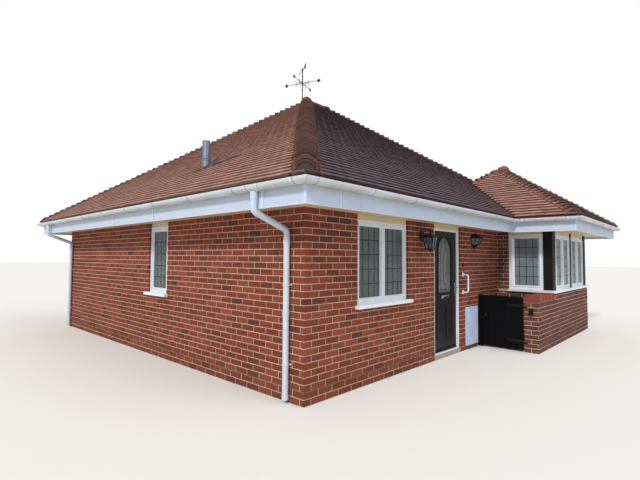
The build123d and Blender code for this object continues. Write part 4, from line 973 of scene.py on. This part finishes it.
def window_trims():
    """Leads, beads and seals of every window."""
    leads, beads, seals = Build(), Build(), Build()
    for side, x, y, width, lights, setback in WINDOWS:
        place = facing(side, x, y)
        outside = -setback - GLASS_BEHIND
        bead_width = WIDE_BEAD if setback == WING_SETBACK and lights == 1 else BEAD
        for start, end in window_lights(width, lights):
            lead_light(leads, place, start, end, outside)
            opening = outline((start, end), (GLASS_LOW, GLASS_HIGH))
            rim = moved_in(opening, BEAD, BEAD)
            glass = outside + 0.001
            beads.bevel(place, (opening, 0.004 - setback), (moved_in(opening, bead_width, BEAD), glass))
            seals.bevel(place, (rim, outside + 0.003), (moved_in(rim, SEAL, SEAL), glass))
    leads.make("leaded_lights", "lead_came", slot="lead")
    beads.make("glazing_beads", "white_plastic", slot="white_plastic")
    seals.make("glazing_seals", "seal")


def window_handles():
    """A lever handle for each light, on the room side."""
    build = Build()
    plate, plate_level, lever = 0.012, (1.46, 1.56), 0.007
    for side, x, y, width, lights, setback in WINDOWS:
        place = facing(side, x, y)
        inner = -setback - 0.07
        for index, (start, end) in enumerate(window_lights(width, lights)):
            u = start - 0.018 if index else (end + 0.016 if lights > 1 else start - 0.03)
            build.box(place, (u - plate, u + plate), plate_level, (inner, inner - 0.008), back=True)
            path = ((1.51, 0.006), (1.51, 0.034), (1.5, 0.038), (1.4, 0.036))
            build.tube([place(u, z, inner - n) for z, n in path], lever, 8)
    build.make("window_handles", "trim_plastic", slot="white_plastic", smooth=True)


window_trims()

# Eaves trims: joint covers on the fascia, and seams and clips of the gutter
FASCIA_LOW, FASCIA_SEEN, LIP = 2.05, 2.228, 0.012
FASCIA_SIDE, FASCIA_END, FASCIA_WING, FASCIA_WING_FRONT = 4.49, 4.18, 0.89, -5.21
RUN_SIDES = ("entrance", "left", "entrance", "right", "rear", "left")
FASCIA_JOINTS = ((0.5,), (), (), (2.4, 5.4), (3.0, 6.0), (3.98, 5.345))
GUTTER_OUT, GUTTER_LEVEL = 0.062, 2.284
PIPE_PLACES = (-3.505, 3.61)


def eaves_corners(out=0.0):
    """The plan corners of a run round the eaves, some way out from the fascia."""
    side, end = FASCIA_SIDE + out, FASCIA_END + out
    wing, front = FASCIA_WING - out, FASCIA_WING_FRONT - out
    return [(-side, -end), (wing, -end), (wing, front), (side, front), (side, end), (-side, end)]


def fascia_trims():
    """Bottom lip, joint covers and corner covers of the fascia, and a painted shadow beside each joint
    cover.
    """
    trims, joint_shadows = Build(), Build()
    seen = (FASCIA_LOW + LIP, FASCIA_SEEN)
    corners = eaves_corners()
    for index, (x, y) in enumerate(corners):
        next_x, next_y = corners[(index + 1) % len(corners)]
        length = abs(next_x - x) + abs(next_y - y)
        run = facing(RUN_SIDES[index], x, y)
        trims.box(run, (0, length), (FASCIA_LOW - 0.001, FASCIA_LOW + LIP), (0, 0.0045), 0.002)
        for middle in FASCIA_JOINTS[index]:
            trims.box(run, (middle - 0.016, middle + 0.016), seen, (0, 0.004), 0.001)
            # Painted shadow: a grey strip on one side of the joint cover.
            joint_shadows.box(run, (middle + 0.016, middle + 0.021), seen, (0, 0.0012))
        for start in (0.0, length - 0.02):
            trims.box(run, (start, start + 0.02), seen, (0, 0.0035), 0.001)
    pipe_run = facing("left", *corners[-1])
    block, shoe = (7.691, 7.772), (7.682, 7.781)
    trims.box(pipe_run, block, (FASCIA_LOW + 0.006, FASCIA_SEEN), (0, 0.014), 0.002)
    trims.box(pipe_run, shoe, (FASCIA_LOW - 0.006, FASCIA_LOW + 0.008), (0, 0.022), 0.002, back=True)
    trims.make("fascia_trims", "trim_plastic", slot="white_plastic")
    joint_shadows.make("fascia_joint_shadows", "dull_seal", slot="dark_plastic")


def gutter_band(build, middle, along, width, radii, start=-4, end=-150):
    """A band round the outside of the gutter's half round, between two angles in degrees."""
    steps = 14
    out = Vector((along.y, -along.x))
    near, far = along * (-width / 2), along * (width / 2)
    rows = []
    for step in range(steps + 1):
        a = math.radians(start + (end - start) * step / steps)
        for shift, r in ((near, radii[0]), (near, radii[1]), (far, radii[1]), (far, radii[0])):
            here = middle + shift + out * (r * math.cos(a))
            rows.append((here.x, here.y, GUTTER_LEVEL + r * math.sin(a)))
    last = 4 * steps
    ends = [(0, 1, 2, 3), (last + 3, last + 2, last + 1, last)]
    build.add(rows, grid_faces(steps + 1, 4, flip=True) + ends)


def gutter_trims():
    """Seams at the edges of the gutter's unions, outlets and brackets, and a clip over each union."""
    seams, clips = Build(), Build()
    corners = [Vector(c) for c in eaves_corners(GUTTER_OUT)]
    corner_gap, union, outlet_half, outlet_ring, bracket, spacing = 0.15, 0.07, 0.095, 0.035, 0.025, 0.9
    seam = 0.003
    for index, corner in enumerate(corners):
        run = corners[(index + 1) % len(corners)] - corner
        length = run.length
        along = run / length
        unions = [(corner_gap, union), (length - corner_gap, union)]
        if index == len(corners) - 1:
            outlets = [corner.y - y for y in PIPE_PLACES]
            unions += [(u + shift, outlet_ring) for u in outlets for shift in (-outlet_half, outlet_half)]
        inner = length - 2 * corner_gap
        bays = max(1, round(inner / spacing))
        brackets = [corner_gap + inner / bays * bay for bay in range(1, bays)]
        brackets = [(b, bracket) for b in brackets if all(abs(b - u) > union for u, _ in unions)]
        for distance, width in unions + brackets:
            for sign in (-1, 1):
                place = corner + along * (distance + sign * (width / 2 + seam / 2))
                gutter_band(seams, place, along, seam, (0.06, 0.0645))
        for distance, width in unions:
            gutter_band(clips, corner + along * distance, along, width * 0.3, (0.0655, 0.0659), -2, -40)
    seams.make("gutter_seams", "dull_seal", slot="dark_plastic")
    clips.make("gutter_clips", "white_plastic", slot="white_plastic")


def pipe_sockets():
    """Collars of the rain pipes, each with a taper under it, and the screws of their clips."""
    build = Build()
    gutter_x, wall_x = -FASCIA_SIDE - GUTTER_OUT, -4.096
    outlet, collar, pipe = 0.0395, 0.0378, 0.0345
    outlet_top, outlet_foot, taper_foot, taper = 2.222, 2.152, 2.14, 0.006
    sockets, clip_levels, clip_half = ((1.70, 0.075), (0.93, 0.06), (0.045, 0.05)), (1.262, 0.412), 0.052
    for y in PIPE_PLACES:
        build.tube([(gutter_x, y, outlet_top), (gutter_x, y, outlet_foot)], outlet, 24)
        build.tube([(gutter_x, y, outlet_foot), (gutter_x, y, taper_foot)], [outlet, pipe], 24)
        for level, length in sockets:
            build.tube([(wall_x, y, level), (wall_x, y, level + length)], collar, 24)
            build.tube([(wall_x, y, level - taper), (wall_x, y, level)], [pipe, collar], 24)
        for level in clip_levels:
            for shift in (-clip_half, clip_half):
                build.tube([(-4.06, y + shift * 0.6, level), (-4.056, y + shift, level)], 0.009, 8)
    build.make("pipe_sockets", "pipe_plastic", slot="white_plastic", smooth=True)


def damp_course():
    """A black line in a bed joint round the foot of the walls."""
    build = Build()
    levels, proud = (0.1485, 0.1515), 0.0022
    right_of_door = DOORWAY[1] + LEFT
    for run, length in ((side_face, side_length), (entrance_face, DOORWAY[0]),
                        (facing("entrance", right_of_door, FRONT), WING_LEFT - right_of_door),
                        (rear_face, RIGHT - LEFT), (right_face, right_length), (low_face, wing_length)):
        build.box(run, (0.0, length), levels, (0, proud))
    build.make("damp_course", "seal", slot="dark_plastic")


fascia_trims()
gutter_trims()
pipe_sockets()
damp_course()

# Flue: its lead slate, dressed over the tiles, and the bands of its pipe
FLUE_X, FLUE_Y = -3.635, -1.114


def lead_slate():
    """Two skins of lead round the flue, and a rolled strip that runs off over the tiles."""
    build = Build()
    inset = FLUE_X - ROOF_LEFT
    columns, rows = 14, 16
    width, tall, below = 0.29, 0.27, 0.45
    stand_off, bulge, bulge_radius, edge_drop = 0.004, 0.016, 0.085, 0.008
    for skin_drop in (0.003, 0.0):
        points = []
        for i in range(rows + 1):
            for j in range(columns + 1):
                across = (j / columns - 0.5) * width
                up = (i / rows - below) * tall
                swell = bulge * math.exp(-((math.hypot(across, up) / bulge_radius) ** 2))
                wave = 0.003 * math.sin(42 * up + 3 * across) + 0.002 * math.sin(23 * across + 1)
                edge = -edge_drop if i in (0, rows) or j in (0, columns) else 0.0
                height = TAIL_HEIGHT + stand_off + swell + wave + edge - skin_drop
                points.append(left_slope(FLUE_Y + across, inset + up, height))
        build.add(points, grid_faces(rows + 1, columns + 1, flip=True))
    strip = [(FLUE_Y + 0.35, 0.79), (FLUE_Y + 0.1, 0.82), (-1.22, 0.84), (-1.33, 0.861), (-1.438, 0.9),
             (-1.569, 0.945), (-1.66, 0.99), (-1.763, 1.016), (-1.9, 1.05)]
    radii = [0.004, 0.008, 0.01, 0.012, 0.012, 0.012, 0.01, 0.008, 0.004]
    build.tube([left_slope(along, up, TAIL_HEIGHT + 0.002) for along, up in strip], radii, 8)
    build.make("lead_slate", "lead_sheet", slot="lead", smooth=True)


def flue_bands():
    """Raised bands where the lengths of the flue pipe meet."""
    build = Build()
    pipe = 0.056
    for level, radius, tall in ((3.352, 0.0605, 0.018), (3.122, 0.0612, 0.012), (3.060, 0.0612, 0.014),
                                (3.238, 0.0596, 0.008)):
        profile = [(pipe, 0.0), (radius, 0.0015), (radius, tall - 0.0015), (pipe, tall)]
        build.lathe((FLUE_X, FLUE_Y, level), profile, 32)
    build.make("flue_bands", "flue_steel", slot="steel_flue", smooth=True)


lead_slate()
flue_bands()

# Entrance door
DOOR_X, DOOR_Y = -0.786, -3.685
door_face = facing("entrance", DOOR_X, DOOR_Y)
ARCH_HALF, ARCH_FOOT, ARCH_SPRING = 0.234, 0.996, 1.68
SKIN = 0.0082
HANDLE_X, HANDLE_Z = 0.341, 1.04


def screw(build, centre, radius, rise, height, sides=12):
    """A domed screw head on a surface that faces the entrance side."""
    build.lathe(centre, [(radius, 0.0), (radius - 0.0005, rise), (0.0, height)], sides, "Y")


def arch_path(radius, bottom):
    """The outline of an arched light: up one side, round and down the other."""
    arc = [(-radius * math.cos(a), ARCH_SPRING + radius * math.sin(a)) for a in sweep(math.pi, 16)]
    return [(-radius, bottom), *arc, (radius, bottom)]


def door_mouldings():
    """A bead round the arched light, two raised panels and the weatherboard at the door's foot."""
    build = Build()
    bead, bead_out = 0.0055, 0.0085
    build.tube([door_face(u, z, bead_out) for u, z in arch_path(ARCH_HALF, ARCH_FOOT)], bead, 8)
    build.tube([door_face(u, ARCH_FOOT, bead_out) for u in (-ARCH_HALF, ARCH_HALF)], bead, 8)
    half, tall, level, raised = 0.125, 0.24, 0.52, 0.0125
    steps = ((0.004, SKIN, 0.016, raised, False), (0.016, raised, 0.024, SKIN, False),
             (0.034, SKIN, 0.062, raised, True))
    for u in (-0.165, 0.165):
        panel = outline((u - half, u + half), (level - tall, level + tall))
        for outer, outer_n, inner, inner_n, is_field in steps:
            edges = (moved_in(panel, outer, outer), outer_n), (moved_in(panel, inner, inner), inner_n)
            build.bevel(door_face, *edges, is_field)
    weatherboard = [(0.0, 0.128), (0.012, 0.126), (0.022, 0.112), (0.024, 0.102), (0.018, 0.098),
                    (0.0, 0.098)]
    rows = [door_face(u, z, n) for u in (-0.36, 0.36) for n, z in weatherboard]
    build.add(rows, grid_faces(2, 6, flip=True) + [(5, 4, 3, 2, 1, 0), (6, 7, 8, 9, 10, 11)])
    build.make("door_mouldings", "door_wood", body="door", slot="dark_door")


def door_leads():
    """The leaded pattern of the arched light, on both faces of its glass."""
    build = Build()
    half, low, rim, oval_half, oval_middle, oval_tall = 0.168, 1.064, 0.219, 0.09, 1.43, 0.3
    edge, bottom, top = 0.22, 1.01, 1.848

    def came(points, radius=0.0034):
        """One lead along points, the same on the outer and the inner face."""
        for n in (0.0155, -0.0345):
            build.tube([door_face(u, z, n) for u, z in points], radius, 6)

    came(arch_path(half, low))
    came([(-half, low), (half, low)])
    for z in (1.21, 1.36, 1.51, 1.66):
        came([(-edge, z), (-oval_half, z)])
        came([(oval_half, z), (edge, z)])
    for a in sweep(math.pi, 8)[1:-1]:
        came([(r * math.cos(a), ARCH_SPRING + r * math.sin(a)) for r in (half, rim)], 0.003)
    came([(oval_half * math.sin(a), oval_middle - oval_tall * math.cos(a)) for a in sweep(TURN, 28)])
    came([(0.0, oval_middle - oval_tall), (0.0, bottom)])
    came([(0.0, oval_middle + oval_tall), (0.0, top)])
    came([(0.0, 1.25), (0.05, oval_middle), (0.0, 1.61), (-0.05, oval_middle), (0.0, 1.25)], 0.003)
    for u in (-half, half):
        came([(u, low), (u, bottom)], 0.003)
    build.make("door_leads", "lead_came", body="door", slot="lead")


def door_metalwork():
    """The letter flap with its screws, and the screws, escutcheon and rose of the handle plate."""
    build = Build()
    flap = [(-0.118, 0.922, SKIN), (0.118, 0.922, SKIN), (0.118, 0.968, SKIN), (-0.118, 0.968, SKIN),
            (-0.112, 0.927, 0.0115), (0.112, 0.927, 0.0115), (0.112, 0.963, 0.0105), (-0.112, 0.963, 0.0105)]
    build.add([door_face(*corner) for corner in flap], ring_faces(4) + [(4, 5, 6, 7)])
    build.tube([door_face(-0.1, 0.969, 0.011), door_face(0.1, 0.969, 0.011)], 0.0035, 8)
    plate = 0.0078
    for u in (-0.131, 0.131):
        screw(build, door_face(u, 0.945, plate), 0.0055, 0.002, 0.003)
    for z in (-0.098, 0.098):
        screw(build, door_face(HANDLE_X, HANDLE_Z + z, plate), 0.005, 0.002, 0.003)
    escutcheon = [(0.0115, 0.0), (0.011, 0.0045), (0.008, 0.006), (0.0, 0.006)]
    rose = [(0.0165, 0.0), (0.016, 0.005), (0.011, 0.009), (0.0095, 0.012)]
    for lift, profile in ((-0.05, escutcheon), (0.04, rose)):
        build.lathe(door_face(HANDLE_X, HANDLE_Z + lift, plate), profile, 20, "Y")
    build.make("door_metalwork", "satin_chrome", body="door", slot="door_metal", smooth=True)


def door_keyway():
    """The slot of the lock, below the handle, as a thin dark plate of painted shade."""
    build = Build()
    build.box(door_face, (HANDLE_X - 0.0012, HANDLE_X + 0.0012), (HANDLE_Z - 0.0565, HANDLE_Z - 0.0435),
              (0.0137, 0.0142))
    build.make("door_keyway", "seal", body="door", slot="dark_plastic")


door_mouldings()
door_leads()
door_metalwork()
door_keyway()

# Lanterns: bars, finials and scrolls of both, and their bulbs
LANTERN = Vector((-1.635, -3.89, 1.68))
HALF_LANTERN = Vector((0.215, -3.754, 1.805))


def carriage_bars(build):
    """The cage, finials, roof curls and bracket of the carriage lantern."""
    foot, growth, tall = 0.0525, 0.0305, 0.19

    def corner(out, share, z):
        """A place on the side of the cage that faces out, by its share of the half width and its height."""
        half = foot + growth * z / tall
        along = Vector((-out.y, out.x, 0))
        return lifted(LANTERN + out * (half - 0.002) + along * (half - 0.004) * share, z)

    for out in (heading(quarter * math.pi / 2) for quarter in range(4)):
        build.tube([corner(out, 0, z) for z in (0.012, 0.185)], 0.003, 8)
        for share in (-1, 1):
            build.tube([corner(out, share, z) for z in (0.004, 0.188)], 0.0052, 8)
        for z in (0.11, 0.018, 0.182):
            build.tube([corner(out, share, z) for share in (-1, 1)], 0.003, 8)
        curl = [lifted(LANTERN + out * (0.012 + 0.05 * (1 - math.cos(a))), 0.25 + 0.016 * math.sin(2 * a))
                for a in sweep(math.pi / 2, 8)]
        build.tube(curl, 0.0028, 6)
    top_finial = [(0.0, -0.01), (0.02, -0.004), (0.022, 0.0), (0.012, 0.008), (0.0095, 0.02), (0.016, 0.028),
                  (0.0175, 0.036), (0.012, 0.045), (0.0, 0.05)]
    foot_finial = [(0.0, -0.008), (0.008, -0.006), (0.011, 0.0), (0.007, 0.008), (0.02, 0.015)]
    build.lathe(lifted(LANTERN, 0.24), top_finial, 20)
    build.lathe(lifted(LANTERN, -0.014), foot_finial, 16)
    scroll = [(LANTERN.x, -3.79 - r * math.cos(a), 1.955 + r * math.sin(a))
              for a, r in spiral(24, -200, 300, 0.012, 0.026)]
    build.tube(scroll, 0.0042, 8)
    arm = [(LANTERN.x, -3.754 - 0.136 * math.sin(a), 1.93 + 0.05 * math.sin(2 * a))
           for a in sweep(math.pi / 2, 12)]
    build.tube(arm, 0.0055, 8)
    for z in (1.85, 1.955):
        screw(build, (LANTERN.x, -3.7535, z), 0.006, 0.003, 0.005)


def half_bars(build):
    """The cage and finials of the half lantern."""
    foot, growth, tall, stand_off = 0.08, 0.06, 0.125, 0.002

    def corner(turn, z):
        """A corner of the glass at a height above its foot."""
        radius = foot + growth * z / tall + stand_off
        a = math.radians(turn)
        return HALF_LANTERN + Vector((radius * math.cos(a), radius * math.sin(a), z))

    for first, second in ((180, 240), (240, 300), (300, 360)):
        build.tube([corner(first, z).lerp(corner(second, z), 0.5) for z in (0.002, 0.123)], 0.0026, 8)
        for z, radius in ((0.004, 0.0034), (0.062, 0.0024), (0.12, 0.0034)):
            build.tube([corner(first, z), corner(second, z)], radius, 8)
    for turn in (180, 240, 300, 360):
        build.tube([corner(turn, z) for z in (0.0, 0.124)], 0.0045, 8)
    top_finial = [(0.024, 0.0), (0.02, 0.008), (0.01, 0.016), (0.013, 0.024), (0.009, 0.032), (0.0, 0.036)]
    foot_finial = [(0.0, -0.01), (0.007, -0.007), (0.009, 0.0), (0.006, 0.009)]
    build.lathe(HALF_LANTERN + Vector((0, -0.03, 0.185)), top_finial, 16)
    build.lathe(HALF_LANTERN + Vector((0, -0.02, -0.034)), foot_finial, 14)


def lanterns():
    """Ironwork and bulbs of both lanterns."""
    iron, bulbs = Build(), Build()
    carriage_bars(iron)
    half_bars(iron)
    bulb = [(0.016, 0.0), (0.016, 0.03), (0.011, 0.034), (0.013, 0.05), (0.016, 0.066), (0.012, 0.084),
            (0.004, 0.094), (0.0, 0.095)]
    for foot in ((LANTERN.x, LANTERN.y, 1.69), (0.215, -3.80, 1.81)):
        bulbs.lathe(foot, bulb, 18)
    iron.make("lantern_ironwork", "black_iron", slot="black_metal", smooth=True)
    bulbs.make("lantern_bulbs", "meter_plastic", slot="white_plastic", smooth=True)


lanterns()

# Fittings: bell, grab rail, meter box, gate and key safe
BELL_X, RAIL_X, METER_LOCK, LATCH_Y = -0.245, -0.235, (0.212, 0.405), -3.875


def bell_button():
    """The bell's push and the blank strip over it."""
    build = Build()
    push = [(0.0095, 0.0), (0.009, 0.002), (0.0055, 0.0035), (0.0, 0.0035)]
    plate, plate_levels = (-0.011, 0.011), (1.458, 1.476)
    build.lathe((BELL_X, -3.7578, 1.44), push, 20, "Y")
    build.box(facing("entrance", BELL_X, -3.758), plate, plate_levels, (0, 0.0015), 0.0006)
    build.make("bell_button", "seal", slot="dark_plastic", smooth=True)


def rail_fittings():
    """Grip rings along the grab rail, and the roses and screws at its ends."""
    build = Build()
    grip = [(0.0135, 0.0), (0.0151, 0.0015), (0.0151, 0.0055), (0.0135, 0.007)]
    face, screw_circle = -3.7478, 0.028
    rail_y, first_grip, grip_pitch, grips = -3.835, 1.062, 0.0122, 14
    for k in range(grips):
        build.lathe((RAIL_X, rail_y, first_grip + grip_pitch * k), grip, 20)
    for level in (0.99, 1.29):
        for a in (math.radians(turn) for turn in (90, 210, 330)):
            centre = (RAIL_X + screw_circle * math.cos(a), face, level + screw_circle * math.sin(a))
            screw(build, centre, 0.0045, 0.0018, 0.0026, 10)
        build.lathe((RAIL_X, face, level), [(0.02, 0.0), (0.018, 0.004), (0.0145, 0.007)], 22, "Y")
    build.make("rail_fittings", "white_plastic", slot="white_plastic", smooth=True)


def meter_trims():
    """The raised border, vents and lock of the meter door."""
    build, keyhole = Build(), Build()
    face = facing("entrance", 0.051, -3.79)
    half, low, high, border = 0.185, 0.103, 0.707, 0.006
    vent_half, vent = 0.06, 0.005
    for u, z in (((-half, half), (low, low + border)), ((-half, half), (high - border, high)),
                 ((-half, border - half), (low + border, high - border)),
                 ((half - border, half), (low + border, high - border))):
        build.box(face, u, z, (0, 0.002), 0.0008)
    for top in (0.657, 0.645, 0.633, 0.621):
        build.box(face, (-vent_half, vent_half), (top - vent, top), (0, 0.0028), 0.001)
    lock = [(0.019, 0.0), (0.018, 0.0022), (0.012, 0.003), (0.011, 0.0012), (0.0, 0.0012)]
    build.lathe((METER_LOCK[0], -3.7898, METER_LOCK[1]), lock, 24, "Y")
    build.make("meter_mouldings", "meter_plastic", body="meter_flap", slot="white_plastic")
    # Painted shade: the keyhole is a thin dark triangle standing for the shade inside it.
    key_slot = [(0.0062, 0.0), (0.0062, 0.0008), (0.0, 0.0008)]
    keyhole.lathe((METER_LOCK[0], -3.7914, METER_LOCK[1]), key_slot, 3, "Y")
    keyhole.make("meter_keyhole", "seal", body="meter_flap", slot="dark_plastic")


def gate_ironwork():
    """Bolts of the gate's straps, its ring latch and the nails of its boards."""
    build = Build()
    face = 0.4002
    bolt = [(0.0, -0.0055), (0.006, -0.0045), (0.0088, -0.0015), (0.009, 0.0)]
    rose = [(0.0, -0.012), (0.008, -0.011), (0.01, -0.004), (0.024, -0.003), (0.025, 0.0)]
    nail = [(0.0, -0.002), (0.0035, -0.0012), (0.004, 0.0)]
    for level in (0.175, 0.775):
        for y in (-4.46, -4.37, -4.28):
            build.lathe((0.3952, y, level), bolt, 12, "X")
    build.lathe((face, LATCH_Y, 0.56), rose, 20, "X")
    ring_x, ring_level, ring_radius = 0.388, 0.532, 0.03
    ring = [(ring_x, LATCH_Y + ring_radius * math.sin(a), ring_level + ring_radius * math.cos(a))
            for a in sweep(TURN, 24)]
    build.tube(ring, 0.0035, 8, closed=False)
    for board in range(7):
        levels = (0.15, 0.2, 0.75, 0.8) if board > 2 else (0.2, 0.8)
        for level in levels:
            build.lathe((face, -4.456 + 0.0975 * board + 0.001, level + 0.004), nail, 8, "X")
    build.make("gate_ironwork", "black_iron", body="gate", slot="black_metal", smooth=True)


def key_safe_cover():
    """The key safe's cover with two columns of push buttons and a turn button."""
    build = Build()
    face = facing("left", 0.362, -4.6385)
    cover, first_row, row_pitch, column = 0.0034, 0.7, 0.0125, 0.009
    push = [(0.0, -0.0026), (0.003, -0.002), (0.0036, 0.0)]
    build.box(face, (-0.024, 0.024), (0.625, 0.725), (0, 0.0035), 0.0015)
    for row in range(5):
        for u in (-column, column):
            build.lathe(face(u, first_row - row_pitch * row, cover), push, 10, "X")
    build.lathe(face(0, 0.638, cover), [(0.0, -0.005), (0.007, -0.0045), (0.008, 0.0)], 16, "X")
    build.make("key_safe_cover", "black_plastic", slot="black_metal", smooth=True)


def vane_scrolls():
    """Scrolls and stays in the corners of the weathervane's arms, and the collars of its mast."""
    build = Build()
    mast = Vector((-0.198, 0.26, 0))
    arm_level, scroll_out, scroll_radius = 5.76, 0.17, 0.034
    first_arm, stay_start, stay_length, stay_drop = 19, 0.012, 0.158, 0.055
    for quarter in range(4):
        out = heading(math.radians(first_arm + 90 * quarter))
        for lift, size in ((-1, 1.0), (1, 0.72)):
            curl = [lifted(mast + out * (scroll_out + r * size * math.cos(a)),
                           arm_level + lift * (scroll_radius * size - r * size * math.sin(a)))
                    for a, r in spiral(30, 90, 480, scroll_radius, -0.026)]
            build.tube(curl, 0.0032, 6)
            stay = [lifted(mast + out * (stay_start + stay_length * share),
                           arm_level + lift * stay_drop * size * (1 - math.sin(math.pi / 2 * share)))
                    for share in sweep(1, 8)]
            build.tube(stay, 0.003, 6)
    collar = [(0.011, -0.012), (0.016, -0.007), (0.019, 0.0), (0.016, 0.007), (0.011, 0.012)]
    for level in (5.86, 6.02, 5.6, 5.42):
        build.lathe(lifted(mast, level), collar, 16)
    build.make("vane_scrolls", "black_iron", slot="black_metal", smooth=True)


bell_button()
rail_fittings()
meter_trims()
gate_ironwork()
key_safe_cover()
vane_scrolls()
window_handles()

# Stage and light
FLOOR_HALF, FLOOR_LEVEL = 120, -0.002
AMBIENT, BACKDROP = 0.55, 1.0


def make_floor():
    """A wide pale floor just under the model."""
    mesh = bpy.data.meshes.new("stage_floor")
    reach = (-FLOOR_HALF, FLOOR_HALF)
    mesh.from_pydata([(x, y, 0) for x, y in outline(reach, reach)], [], [(0, 1, 2, 3)])
    floor = bpy.data.objects.new("stage_floor", mesh)
    bpy.context.scene.collection.objects.link(floor)
    floor.location.z = FLOOR_LEVEL
    surface = Surface("stage_floor")
    for key, value in (("Base Color", (238, 237, 235)), ("Roughness", 0.9), ("Specular IOR Level", 0.1)):
        surface.put(surface.shader.inputs[key], value)
    mesh.materials.append(surface.material)


def make_world():
    """White light all round, seen at full strength and lighting the model at less."""
    world = bpy.data.worlds.new("studio")
    bpy.context.scene.world = world
    world.use_nodes = True
    nodes, links = world.node_tree.nodes, world.node_tree.links
    background = nodes["Background"]
    background.inputs["Color"].default_value = (1.0, 1.0, 1.0, 1.0)
    path = nodes.new("ShaderNodeLightPath")
    seen = nodes.new("ShaderNodeMath")
    seen.operation = "MAXIMUM"
    links.new(path.outputs["Is Camera Ray"], seen.inputs[0])
    links.new(path.outputs["Is Transmission Ray"], seen.inputs[1])
    level = nodes.new("ShaderNodeMapRange")
    links.new(seen.outputs[0], level.inputs["Value"])
    level.inputs["To Min"].default_value = AMBIENT
    level.inputs["To Max"].default_value = BACKDROP
    links.new(level.outputs["Result"], background.inputs["Strength"])


def lamp(name, azimuth, elevation, strength, angle, colour):
    """A soft sun that shines from an azimuth and an elevation, in degrees."""
    data = bpy.data.lights.new(name, "SUN")
    data.energy = strength
    data.angle = math.radians(angle)
    data.color = colour
    made = bpy.data.objects.new(name, data)
    bpy.context.scene.collection.objects.link(made)
    a, e = math.radians(azimuth), math.radians(elevation)
    away = Vector((math.sin(a) * math.cos(e), -math.cos(a) * math.cos(e), math.sin(e)))
    made.rotation_mode = "QUATERNION"
    made.rotation_quaternion = away.to_track_quat("Z", "Y")


make_floor()
make_world()
lamp("key", 290, 38, 2.1, 9, (1.0, 0.97, 0.93))
lamp("fill", 20, 40, 0.6, 40, (0.95, 0.97, 1.0))
bpy.context.scene.view_settings.view_transform = "Standard"
